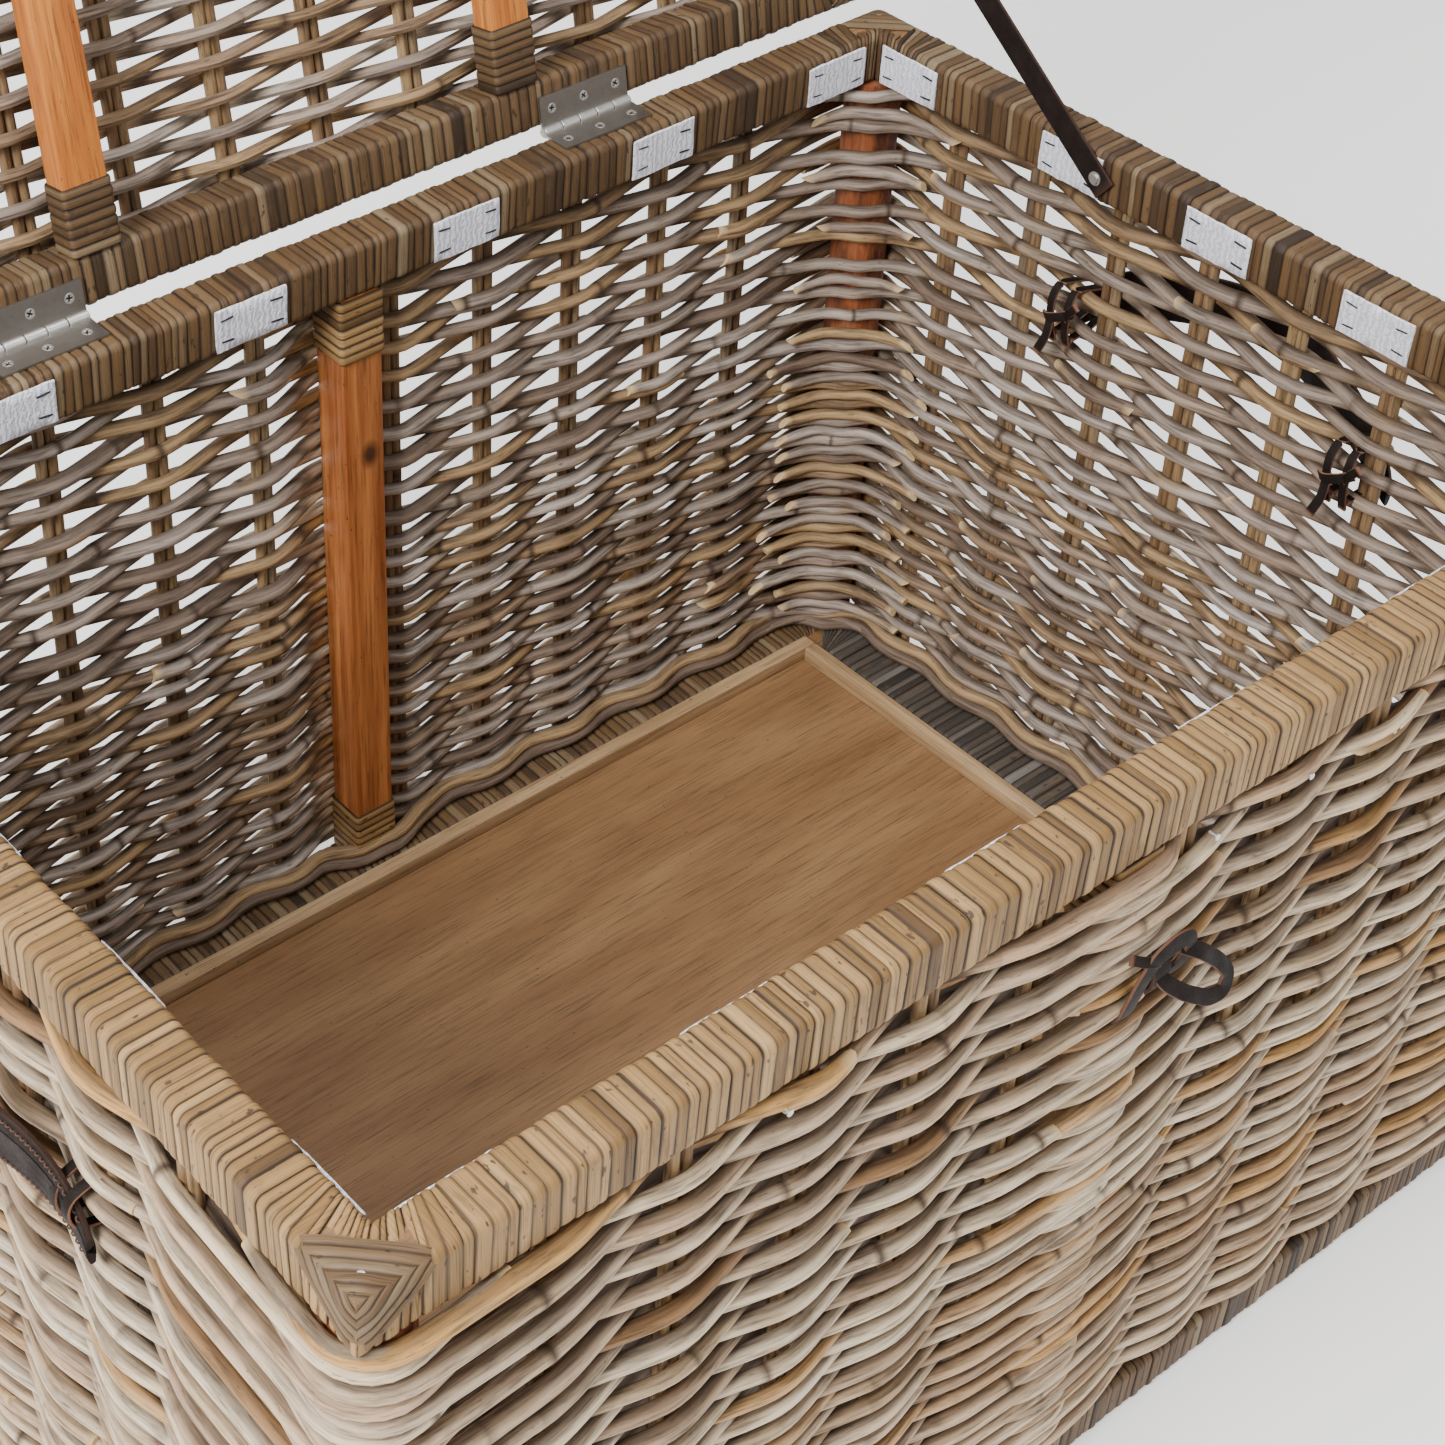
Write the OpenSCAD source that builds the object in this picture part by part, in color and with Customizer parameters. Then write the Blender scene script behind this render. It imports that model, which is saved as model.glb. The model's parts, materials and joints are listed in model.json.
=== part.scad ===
// Wicker storage trunk with a hinged lid, shown open on its two stay straps.
// Millimetres, +Z up. The origin is the centre of the underside, +X runs along the
// length, the front is -Y and the hinged back is +Y.

/* [Trunk] */
// Outer length of the top frame
trunk_l = 990; // [800:10:1200]
// Outer depth of the top frame, front to back
trunk_w = 700; // [500:10:800]
// Height of the trunk without its lid
trunk_h = 570; // [400:10:700]
// Angle that the lid stands open from closed
open_angle = 100; // [0:5:105]

/* [Wrapped bars] */
// Width of a top frame bar, seen from above
rim_w = 34; // [30:1:40]
// Height of a top frame bar
rim_h = 38; // [30:1:44]
// Height of a lid frame bar
lid_h = 34; // [30:1:40]
// Width of the long base bars
base_long_w = 44; // [36:1:50]
// Width of the short base bars
base_short_w = 64; // [50:1:70]
// Height of the base bars
base_h = 34; // [30:1:40]
// Thickness of the cane wrapping
wrap_t = 2.5; // [2:0.5:3]

/* [Weave] */
// Diameter of a weaving rod
weaver_d = 9.5; // [7:0.5:11]
// Diameter of a standing rod, which stand in pairs
stake_d = 8; // [6:0.5:9]
// Distance from the outer face of the top frame in to the middle of the weave
weave_in = 8; // [6:1:12]
// Diameter of a corner post
post_d = 44; // [36:1:48]
// Distance from the outer faces of the top frame in to a corner post's centre
post_in = 24; // [22:1:30]
// Standing pairs in each half of a long wall
long_pairs = 5; // [3:1:6]
// Distance from the middle of a long wall to the first standing pair on its left
left_first = 68; // [60:1:80]
// Distance from the middle of a long wall to the first standing pair on its right
right_first = 40; // [30:1:60]
// Spacing of the standing pairs in a long wall
long_pitch = 79.5; // [60:0.5:80]
// Distance of an end wall's middle pair from the middle of the wall
end_middle = 20; // [0:1:30]
// Spacing of the standing pairs in an end wall
end_pitch = 77; // [60:1:78]
// Spacing of the standing pairs in the lid
lid_pitch = 75; // [60:1:80]

/* [Base panel] */
// Thickness of the plywood panel
panel_t = 6; // [4:1:9]
// Width and height of the battens that hold the panel down
batten = 12; // [8:1:15]
// Width of a rail under the panel
rail_w = 40; // [30:1:60]
// Distance of the outer rails from the middle
rail_x = 240; // [150:10:320]

/* [Timbers] */
// Width of the upright in the middle of a long wall
upright_w = 32; // [26:1:36]
// Depth of that upright
upright_d = 30; // [24:1:32]
// Width of a lid strut
strut_w = 32; // [26:1:36]
// Depth of a lid strut
strut_d = 20; // [14:1:24]
// Distance of a lid strut from the middle
strut_x = 165; // [120:5:200]

/* [Hinges] */
// Length of a hinge
hinge_l = 76; // [60:1:90]
// Distance of a hinge from the middle
hinge_x = 219; // [180:1:300]
// Width of a hinge leaf from the pin's centre
leaf_w = 25; // [20:1:28]
// Thickness of a hinge leaf
leaf_t = 1.8; // [1.5:0.1:1.9]
// Outer radius of a hinge knuckle
knuckle_r = 3.3; // [3:0.1:3.5]

/* [Fittings] */
// Width of a stay strap
stay_w = 20; // [15:1:25]
// Thickness of a stay strap
stay_t = 2.4; // [2:0.1:3]
// Length of a grip patch
patch_l = 54; // [40:1:60]
// Height of a grip patch
patch_h = 30; // [20:1:32]
// Thickness of a grip patch
patch_t = 1.2; // [1:0.1:1.3]
// Height of the leather at the middle of a carrying handle
handle_h = 40; // [30:1:45]
// Thickness of a carrying handle
handle_t = 5; // [4:0.5:6]

/* [Hidden] */

hx = trunk_l / 2;
hy = trunk_w / 2;
gap = 0.3;
rim_z = trunk_h - rim_h;
weave_z0 = base_h + 2;
weave_z1 = rim_z - 1;
wall_t = 2 * weaver_d + stake_d;
mid_x = hx - weave_in;
mid_y = hy - weave_in;
post_x = hx - post_in;
post_y = hy - post_in;
sleeve_r = post_d / 2 + weaver_d;
long_end = post_x - sleeve_r - gap;
end_end = post_y - sleeve_r - gap;
rim_in_x = hx - rim_w;
rim_in_y = hy - rim_w;
upright_y0 = rim_in_y + 1;
collar_t = 2;
collar_h = 48;
hinge_y = hy + 3;
hinge_z = trunk_h + 2;
lid_z = trunk_h + 4;
lid_top = lid_z + lid_h;
screw_r = 2;
screw_pitch = 28;
leaf_screw_y = 15;
stay_x = rim_in_x - patch_t - gap - stay_t / 2;
stay_foot = [103, 552];
stay_lid_along = 218;
stay_lid_up = 19;
patch_back_x = [86, 257, 421];
patch_end_y = [0, 128, 283];
patch_z = trunk_h - 20;
handle_z = 428;
handle_y = 122;
handle_gap = 1.5;
handle_x = mid_x + wall_t / 2 + handle_gap;
lace_r = 2;
lace_dz = 9;
lace_out_x = handle_x + handle_t + 5;

// ---------- shared shapes ----------

// A box from its low corner to its high corner
module span(low, high) {
    translate(low) cube(high - low);
}

// A round rod along +X from the origin
module rod_x(r, length, sides) {
    rotate([0, 90, 0]) cylinder(r = r, h = length, $fn = sides);
}

// A square tube of cane round a bar that runs along X, from x0 to x1
module sleeve_x(x0, x1, y0, y1, z0, z1) {
    difference() {
        span([x0, y0, z0], [x1, y1, z1]);
        span([x0 - 1, y0 + wrap_t, z0 + wrap_t], [x1 + 1, y1 - wrap_t, z1 - wrap_t]);
    }
}

// A square tube of cane round a bar that runs along Y, from y0 to y1
module sleeve_y(x0, x1, y0, y1, z0, z1) {
    difference() {
        span([x0, y0, z0], [x1, y1, z1]);
        span([x0 + wrap_t, y0 - 1, z0 + wrap_t], [x1 - wrap_t, y1 + 1, z1 - wrap_t]);
    }
}

// Four timber bars of a frame: the long ones run through, the short ones butt between them
module frame_bars(long_w, short_w, z0, z1) {
    for (s = [-1, 1]) {
        translate([0, s * (hy - long_w / 2), (z0 + z1) / 2])
            cube([2 * hx - 2 * wrap_t, long_w - 2 * wrap_t, z1 - z0 - 2 * wrap_t], center = true);
        translate([s * (hx - short_w / 2), 0, (z0 + z1) / 2])
            cube([short_w - 2 * wrap_t, 2 * (hy - long_w + wrap_t), z1 - z0 - 2 * wrap_t], center = true);
    }
}

// Cane wrapping of the long bar on side s, between the corners
module wrap_long(s, long_w, short_w, z0, z1) {
    y0 = s > 0 ? hy - long_w : -hy;
    sleeve_x(-hx + short_w, hx - short_w, y0, y0 + long_w, z0, z1);
}

// Cane wrapping of the short bar on side s
module wrap_short(s, long_w, short_w, z0, z1) {
    x0 = s > 0 ? hx - short_w : -hx;
    sleeve_y(x0, x0 + short_w, -hy + long_w, hy - long_w, z0, z1);
}

// Cane caps over the four corners, open towards the long bar that they hold and the short bar beside it
module corner_caps(long_w, short_w, z0, z1) {
    for (sx = [-1, 1], sy = [-1, 1]) {
        to_quarter(sx, sy) difference() {
            span([hx - short_w, hy - long_w, z0], [hx, hy, z1]);
            span([hx - short_w - 1, hy - long_w + wrap_t, z0 + wrap_t],
                [hx - wrap_t, hy - wrap_t, z1 - wrap_t]);
            span([hx - short_w + wrap_t, hy - long_w - 1, z0 + wrap_t],
                [hx - wrap_t, hy - long_w + wrap_t + 1, z1 - wrap_t]);
        }
    }
}

// Puts a shape drawn in the +X +Y quarter into the quarter given by the two signs
module to_quarter(sx, sy) {
    mirror([sx < 0 ? 1 : 0, 0, 0]) mirror([0, sy < 0 ? 1 : 0, 0]) children();
}

// Turns the lid from closed to open about the hinge pins
module opened() {
    translate([0, hinge_y, hinge_z]) rotate([-open_angle, 0, 0]) {
        translate([0, -hinge_y, -hinge_z]) children();
    }
}

// A pair of standing rods of a wall that runs along X
module pair_x(x, y) {
    for (s = [-1, 1]) {
        translate([x + s * (stake_d / 2 + 0.1), y, weave_z0])
            cylinder(d = stake_d, h = weave_z1 - weave_z0, $fn = 24);
    }
}

// A pair of standing rods of a wall that runs along Y
module pair_y(x, y) {
    for (s = [-1, 1]) {
        translate([x, y + s * (stake_d / 2 + 0.1), weave_z0])
            cylinder(d = stake_d, h = weave_z1 - weave_z0, $fn = 24);
    }
}

long_stake_x = [for (i = [0:long_pairs - 1])
    each [-left_first - i * long_pitch, right_first + i * long_pitch]];
end_stake_y = [for (i = [-3:3]) end_middle + i * end_pitch];
lid_stake_x = [for (i = [0:5], s = [-1, 1]) s * (lid_pitch / 2 + i * lid_pitch)];
pair_len = 2 * stake_d + 1;
pair_wid = stake_d + 0.6;

// ---------- top frame ----------

module rim_bars() {
    color("peru") frame_bars(rim_w, rim_w, rim_z, trunk_h);
}

module rim_wrap_long(s) {
    color("tan") wrap_long(s, rim_w, rim_w, rim_z, trunk_h);
}

module rim_wrap_short(s) {
    color("tan") wrap_short(s, rim_w, rim_w, rim_z, trunk_h);
}

module rim_corner_wraps() {
    color("burlywood") corner_caps(rim_w, rim_w, rim_z, trunk_h);
}

// ---------- base frame ----------

module base_bars() {
    color("peru") frame_bars(base_long_w, base_short_w, 0, base_h);
}

module base_wrap_long(s) {
    color("tan") wrap_long(s, base_long_w, base_short_w, 0, base_h);
}

module base_wrap_short(s) {
    color("dimgray") wrap_short(s, base_long_w, base_short_w, 0, base_h);
}

module base_corner_wraps() {
    color("burlywood") corner_caps(base_long_w, base_short_w, 0, base_h);
}

// ---------- posts and uprights ----------

module corner_post(sx, sy) {
    color("sienna") translate([sx * post_x, sy * post_y, base_h])
        cylinder(d = post_d, h = rim_z - base_h, $fn = 64);
}

module upright(s) {
    y0 = s > 0 ? upright_y0 : -upright_y0 - upright_d;
    color("chocolate") span([-upright_w / 2, y0, base_h], [upright_w / 2, y0 + upright_d, rim_z]);
}

// One collar of cane round an upright, from z0 up
module collar(s, z0) {
    y0 = s > 0 ? upright_y0 : -upright_y0 - upright_d;
    difference() {
        span([-upright_w / 2 - collar_t, y0 - collar_t, z0],
            [upright_w / 2 + collar_t, y0 + upright_d + collar_t, z0 + collar_h]);
        span([-upright_w / 2, y0, z0 - 1], [upright_w / 2, y0 + upright_d, z0 + collar_h + 1]);
    }
}

module upright_wraps() {
    color("tan") for (s = [-1, 1], z0 = [base_h, rim_z - collar_h]) collar(s, z0);
}

// ---------- woven walls ----------

// Woven long wall on side s: open round its standing rods, and hollowed for the upright
module weave_long(s) {
    notch_w = upright_w / 2 + collar_t + gap;
    notch_y = upright_y0 + upright_d + collar_t + gap;
    color("rosybrown") difference() {
        translate([0, s * mid_y, (weave_z0 + weave_z1) / 2])
            cube([2 * long_end, wall_t, weave_z1 - weave_z0], center = true);
        for (x = long_stake_x) {
            translate([x, s * mid_y, trunk_h / 2]) cube([pair_len, pair_wid, trunk_h], center = true);
        }
        to_quarter(1, s) span([-notch_w, 0, 0], [notch_w, notch_y, trunk_h]);
    }
}

// Woven end wall on side s, open round its standing rods
module weave_end(s) {
    color("rosybrown") difference() {
        translate([s * mid_x, 0, (weave_z0 + weave_z1) / 2])
            cube([wall_t, 2 * end_end, weave_z1 - weave_z0], center = true);
        for (y = end_stake_y) {
            translate([s * mid_x, y, trunk_h / 2]) cube([pair_wid, pair_len, trunk_h], center = true);
        }
    }
}

// Rods that pass inside and outside the corner posts
module weave_corners() {
    color("rosybrown") for (sx = [-1, 1], sy = [-1, 1]) {
        translate([sx * post_x, sy * post_y, weave_z0]) difference() {
            cylinder(r = sleeve_r, h = weave_z1 - weave_z0, $fn = 64);
            translate([0, 0, -1]) cylinder(r = post_d / 2 + gap, h = trunk_h, $fn = 64);
        }
    }
}

module long_wall_stakes() {
    color("tan") for (x = long_stake_x, s = [-1, 1]) pair_x(x, s * mid_y);
}

module end_wall_stakes() {
    color("tan") for (y = end_stake_y, s = [-1, 1]) pair_y(s * mid_x, y);
}

// ---------- base ----------

panel_x = hx - base_short_w;
panel_y = hy - base_long_w;
panel_z = base_h - batten + 2 - panel_t;

module base_panel() {
    color("burlywood") span([-panel_x, -panel_y, panel_z], [panel_x, panel_y, panel_z + panel_t]);
}

module base_battens() {
    z0 = panel_z + panel_t;
    color("wheat") for (s = [-1, 1]) {
        translate([0, s * (panel_y - batten / 2), z0 + batten / 2])
            cube([2 * panel_x, batten, batten], center = true);
        translate([s * (panel_x - batten / 2), 0, z0 + batten / 2])
            cube([batten, 2 * (panel_y - batten), batten], center = true);
    }
}

module base_rails() {
    color("peru") for (x = [-rail_x, 0, rail_x]) {
        span([x - rail_w / 2, -panel_y, 0], [x + rail_w / 2, panel_y, panel_z]);
    }
}

// ---------- hinges ----------

knuckles = 5;
knuckle_l = hinge_l / knuckles;
pin_r = 1.5;
leaf_face = hinge_z - trunk_h - leaf_t;
head_r = 3.6;
head_t = 0.7;
hinge_screw_l = 18;

// One hinge leaf lying on the trunk, pin along X through the origin. part 0 is the
// trunk's leaf and part 1 the lid's, which is the same leaf turned over.
module leaf(part) {
    first = part == 0 ? 1 : 0;
    z0 = part == 0 ? -leaf_face - leaf_t : leaf_face;
    difference() {
        union() {
            span([-hinge_l / 2, -leaf_w, z0], [hinge_l / 2, -knuckle_r - gap, z0 + leaf_t]);
            for (i = [first:2:knuckles - 1]) {
                x0 = -hinge_l / 2 + i * knuckle_l + 0.1;
                translate([x0, 0, 0]) rod_x(knuckle_r, knuckle_l - 0.2, 48);
                span([x0, -knuckle_r - gap - 1, z0], [x0 + knuckle_l - 0.2, 0, z0 + leaf_t]);
            }
        }
        translate([-hinge_l, 0, 0]) rod_x(pin_r + 0.05, 2 * hinge_l, 48);
        for (x = [-screw_pitch, 0, screw_pitch]) {
            translate([x, -leaf_screw_y, 0]) {
                cylinder(r = screw_r + 0.1, h = 10, center = true, $fn = 32);
                cylinder(r = head_r + 0.1, h = 2 * (leaf_face + head_t + 0.1), center = true, $fn = 32);
            }
        }
    }
}

// A flat-headed screw with its head's top at z = 0 and its shank down
module wood_screw(length) {
    translate([0, 0, -head_t]) cylinder(r = head_r, h = head_t, $fn = 32);
    translate([0, 0, -length]) cylinder(r = screw_r, h = length, $fn = 32);
}

module at_hinge(s) {
    translate([s * hinge_x, hinge_y, hinge_z]) children();
}

module hinge_body_leaf(s) {
    color("silver") at_hinge(s) leaf(0);
}

module hinge_lid_leaf(s) {
    color("silver") opened() at_hinge(s) leaf(1);
}

module hinge_pins() {
    color("gray") for (s = [-1, 1]) {
        at_hinge(s) translate([-hinge_l / 2, 0, 0]) rod_x(pin_r, hinge_l, 48);
    }
}

module hinge_body_screws() {
    color("gray") for (s = [-1, 1], x = [-screw_pitch, 0, screw_pitch]) {
        at_hinge(s) translate([x, -leaf_screw_y, -leaf_face]) wood_screw(hinge_screw_l);
    }
}

module hinge_lid_screws() {
    color("gray") opened() for (s = [-1, 1], x = [-screw_pitch, 0, screw_pitch]) {
        at_hinge(s) translate([x, -leaf_screw_y, leaf_face]) mirror([0, 0, 1]) wood_screw(hinge_screw_l);
    }
}

// ---------- grip patches and staples ----------

// Places children on the inner faces of the top frame, once for each patch:
// +X along the bar and +Y out of its face
module at_patches() {
    for (x = patch_back_x, sx = [-1, 1], sy = [-1, 1]) {
        translate([sx * x, sy * rim_in_y, patch_z]) rotate([0, 0, sy > 0 ? 180 : 0]) children();
    }
    for (y = patch_end_y, sy = (y == 0 ? [1] : [-1, 1]), sx = [-1, 1]) {
        translate([sx * rim_in_x, sy * y, patch_z]) rotate([0, 0, sx > 0 ? 90 : -90]) children();
    }
}

module grip_patches() {
    color("whitesmoke") at_patches()
        span([-patch_l / 2, 0, -patch_h / 2], [patch_l / 2, patch_t, patch_h / 2]);
}

// A wire staple: a crown on the patch and two legs into the bar
module staple() {
    crown = 9;
    wire = 0.7;
    span([-crown / 2, patch_t, -wire / 2], [crown / 2, patch_t + 0.25, wire / 2]);
    for (s = [-1, 1]) {
        translate([s * (crown - wire) / 2, patch_t - 3, 0]) cube([wire, 6, wire], center = true);
    }
}

module patch_staples() {
    color("dimgray") at_patches() for (sx = [-1, 1], sz = [-1, 1]) {
        translate([sx * (patch_l / 2 - 8), 0, sz * (patch_h / 2 - 7)]) staple();
    }
}

// ---------- stay straps ----------

// The strap's two fixing points, as [y, z], with the lid open
lid_arm = [-stay_lid_along, stay_lid_up];
stay_head = [
    hinge_y + lid_arm[0] * cos(open_angle) + lid_arm[1] * sin(open_angle),
    hinge_z - lid_arm[0] * sin(open_angle) + lid_arm[1] * cos(open_angle)
];
stay_run = stay_head - stay_foot;
stay_len = norm(stay_run);
stay_slope = atan2(stay_run[1], stay_run[0]);
stay_tail = 11;

module stay_strap(s) {
    color("saddlebrown") translate([s * stay_x, stay_foot[0], stay_foot[1]]) rotate([stay_slope, 0, 0])
        difference() {
            span([-stay_t / 2, -stay_tail, -stay_w / 2], [stay_t / 2, stay_len + stay_tail, stay_w / 2]);
            for (y = [0, stay_len]) translate([-5, y, 0]) rod_x(screw_r + 0.1, 10, 32);
        }
}

// A screw and washer on the strap's inner face at [y, z], with its shank out into the bar
module stay_screw(s, y, z) {
    face = stay_x - stay_t / 2;
    translate([s * face, y, z]) rotate([0, -90 * s, 0]) {
        cylinder(r = 5, h = 0.8, $fn = 32);
        translate([0, 0, 0.8]) cylinder(r = 3.5, h = 1.4, $fn = 32);
        translate([0, 0, -20]) cylinder(r = screw_r, h = 20, $fn = 32);
    }
}

module stay_body_screws() {
    color("gray") for (s = [-1, 1]) stay_screw(s, stay_foot[0], stay_foot[1]);
}

module stay_lid_screws() {
    color("gray") for (s = [-1, 1]) stay_screw(s, stay_head[0], stay_head[1]);
}

// ---------- carrying handles ----------

// Sections of a handle along Y: an arched leather strap that stands off the wall at its
// middle and comes to a blunt point below each laced end
handle_n = 24;
function handle_rise(t) = 30 * (1 - t * t) - 22 * pow(abs(t), 8);
function handle_off(t) = 30 * pow(cos(90 * t), 2);
function handle_half(t) = handle_h / 2 * (1 - 0.35 * pow(abs(t), 6));
handle_reach = handle_y + 16;

function handle_ring(i) =
    let (t = -1 + 2 * i / handle_n, x = handle_x + handle_off(t))
    let (z = handle_z + handle_rise(t), h = handle_half(t))
    [[x, t * handle_reach, z - h], [x + handle_t, t * handle_reach, z - h],
        [x + handle_t, t * handle_reach, z + h], [x, t * handle_reach, z + h]];

module handle_solid() {
    pts = [for (i = [0:handle_n]) for (p = handle_ring(i)) p];
    last = 4 * handle_n;
    sides = [for (i = [0:handle_n - 1], k = [0:3]) let (a = 4 * i + k, b = 4 * i + (k + 1) % 4)
        [a, b, b + 4, a + 4]];
    ends = [[3, 2, 1, 0], [last, last + 1, last + 2, last + 3]];
    polyhedron(points = pts, faces = concat(sides, ends));
}

// The two lacing holes at each end
module lace_places() {
    for (sy = [-1, 1], sz = [-1, 1]) translate([0, sy * handle_y, handle_z + sz * lace_dz]) children();
}

module handle(s) {
    color("saddlebrown") mirror([s < 0 ? 1 : 0, 0, 0]) difference() {
        handle_solid();
        lace_places() translate([handle_x - 5, 0, 0]) rod_x(lace_r + 0.5, 30, 32);
    }
}

lace_in_x = mid_x - wall_t / 2 - 4;

// A thong through both holes of each end, tied inside the trunk
module handle_laces(s) {
    color("black") mirror([s < 0 ? 1 : 0, 0, 0]) {
        lace_places() translate([lace_in_x, 0, 0]) rod_x(lace_r, lace_out_x - lace_in_x, 24);
        for (sy = [-1, 1], x = [lace_in_x, lace_out_x]) {
            translate([x, sy * handle_y, handle_z - lace_dz])
                cylinder(r = lace_r, h = 2 * lace_dz, $fn = 24);
        }
    }
}

// ---------- closure and nails ----------

closure_x = 22;
closure_z = 448;
loop_t = 9;
thong_t = 3.5;

// A flat thong bent into a long ring that lies in XZ, with its length along X
module thong_ring(length, width) {
    r = width / 2;
    rotate([90, 0, 0]) translate([0, 0, -loop_t / 2]) difference() {
        union() {
            for (x = [0, length - width]) translate([x, 0, 0]) cylinder(r = r, h = loop_t, $fn = 48);
            span([0, -r, 0], [length - width, r, loop_t]);
        }
        translate([0, 0, -1]) {
            for (x = [0, length - width]) {
                translate([x, 0, 0]) cylinder(r = r - thong_t, h = loop_t + 2, $fn = 48);
            }
            span([0, -r + thong_t, 0], [length - width, r - thong_t, loop_t + 2]);
        }
    }
}

module closure_loops() {
    wall_y = -(mid_y + wall_t / 2);
    color("black") {
        span([closure_x - 32, wall_y - 4, closure_z - 32], [closure_x - 20, wall_y + 1, closure_z + 22]);
        translate([closure_x - 12, wall_y - 6 - loop_t / 2, closure_z + 9])
            rotate([0, -28, 0]) thong_ring(50, 22);
        translate([closure_x - 8, wall_y - 7 - 1.5 * loop_t, closure_z - 16])
            rotate([0, 8, 0]) thong_ring(52, 22);
        span([closure_x - 26, wall_y - 8 - 1.9 * loop_t, closure_z - 8],
            [closure_x - 20, wall_y - 3.5, closure_z + 4]);
        span([closure_x - 26, wall_y - 8 - 1.9 * loop_t, closure_z - 8],
            [closure_x - 12, wall_y - 6 - 1.7 * loop_t, closure_z + 4]);
    }
}

nail_front_x = [-425, -250, 5, 50, 125, 330];

// A round-headed nail with its head on z = 0 and its shank down
module nail(length) {
    cylinder(r = 2, h = 0.8, $fn = 24);
    translate([0, 0, -length]) cylinder(r = 0.9, h = length, $fn = 24);
}

module nails() {
    color("silver") {
        for (sx = [-1, 1], sy = [-1, 1]) {
            translate([sx * (hx - 12), sy * (hy - 12), trunk_h]) nail(14);
        }
        for (x = nail_front_x) {
            translate([x, -(mid_y + wall_t / 2), weave_z1 - 8]) rotate([90, 0, 0]) nail(5);
        }
    }
}

// ---------- lid, drawn shut and then opened ----------

module lid_bars() {
    color("peru") opened() frame_bars(rim_w, rim_w, lid_z, lid_top);
}

module lid_wrap_long(s) {
    color("tan") opened() wrap_long(s, rim_w, rim_w, lid_z, lid_top);
}

module lid_wrap_short(s) {
    color("tan") opened() wrap_short(s, rim_w, rim_w, lid_z, lid_top);
}

module lid_corner_wraps() {
    color("burlywood") opened() corner_caps(rim_w, rim_w, lid_z, lid_top);
}

module lid_strut(s) {
    color("chocolate") opened() span([s * strut_x - strut_w / 2, -rim_in_y, lid_z],
        [s * strut_x + strut_w / 2, rim_in_y, lid_z + strut_d]);
}

strut_collar = 45;

module lid_strut_wraps() {
    color("tan") opened() for (sx = [-1, 1], sy = [-1, 1]) to_quarter(sx, sy) difference() {
        span([strut_x - strut_w / 2 - collar_t, rim_in_y - strut_collar, lid_z - collar_t],
            [strut_x + strut_w / 2 + collar_t, rim_in_y, lid_z + strut_d + collar_t]);
        span([strut_x - strut_w / 2, rim_in_y - strut_collar - 1, lid_z],
            [strut_x + strut_w / 2, rim_in_y + 1, lid_z + strut_d]);
    }
}

lid_weave_t = wall_t - 2;
lid_corner_r = 30;

module lid_weave() {
    color("rosybrown") opened() difference() {
        translate([0, 0, lid_top]) {
            for (sx = [-1, 1], sy = [-1, 1]) {
                translate([sx * (hx - lid_corner_r), sy * (hy - lid_corner_r), 0])
                    cylinder(r = lid_corner_r, h = lid_weave_t, $fn = 64);
            }
            translate([0, 0, lid_weave_t / 2]) {
                cube([2 * (hx - lid_corner_r), 2 * hy, lid_weave_t], center = true);
                cube([2 * hx, 2 * (hy - lid_corner_r), lid_weave_t], center = true);
            }
        }
        for (x = lid_stake_x) {
            translate([x, 0, lid_top + lid_weave_t / 2])
                cube([pair_len, 2 * hy - 16, pair_wid], center = true);
        }
    }
}

module lid_stakes() {
    color("tan") opened() for (x = lid_stake_x, s = [-1, 1]) {
        translate([x + s * (stake_d / 2 + 0.1), hy - 10, lid_top + lid_weave_t / 2]) rotate([90, 0, 0])
            cylinder(d = stake_d, h = 2 * hy - 20, $fn = 24);
    }
}

// ---------- nodes ----------

rim_bars();
rim_wrap_long(-1);  // rim_wrap_front
rim_wrap_long(1);  // rim_wrap_back
rim_wrap_short(-1);  // rim_wrap_left
rim_wrap_short(1);  // rim_wrap_right
rim_corner_wraps();
base_bars();
base_wrap_long(-1);  // base_wrap_front
base_wrap_long(1);  // base_wrap_back
base_wrap_short(-1);  // base_wrap_left
base_wrap_short(1);  // base_wrap_right
base_corner_wraps();
corner_post(-1, -1);  // corner_post_front_left
corner_post(1, -1);  // corner_post_front_right
corner_post(-1, 1);  // corner_post_back_left
corner_post(1, 1);  // corner_post_back_right
upright(-1);  // upright_front
upright(1);  // upright_back
upright_wraps();
weave_long(-1);  // weave_front
weave_long(1);  // weave_back
weave_end(-1);  // weave_left
weave_end(1);  // weave_right
weave_corners();
long_wall_stakes();
end_wall_stakes();
base_panel();
base_battens();
base_rails();
hinge_body_leaf(-1);  // hinge_body_leaf_left
hinge_body_leaf(1);  // hinge_body_leaf_right
hinge_lid_leaf(-1);  // hinge_lid_leaf_left
hinge_lid_leaf(1);  // hinge_lid_leaf_right
hinge_pins();
hinge_body_screws();
hinge_lid_screws();
grip_patches();
patch_staples();
stay_strap(-1);  // stay_strap_left
stay_strap(1);  // stay_strap_right
stay_body_screws();
stay_lid_screws();
handle(-1);  // handle_left
handle(1);  // handle_right
handle_laces(-1);  // handle_laces_left
handle_laces(1);  // handle_laces_right
closure_loops();
nails();
lid_bars();
lid_wrap_long(-1);  // lid_wrap_front
lid_wrap_long(1);  // lid_wrap_back
lid_wrap_short(-1);  // lid_wrap_left
lid_wrap_short(1);  // lid_wrap_right
lid_corner_wraps();
lid_strut(-1);  // lid_strut_left
lid_strut(1);  // lid_strut_right
lid_strut_wraps();
lid_weave();
lid_stakes();
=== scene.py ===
"""Looks of the wicker storage trunk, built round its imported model."""
import json

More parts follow.
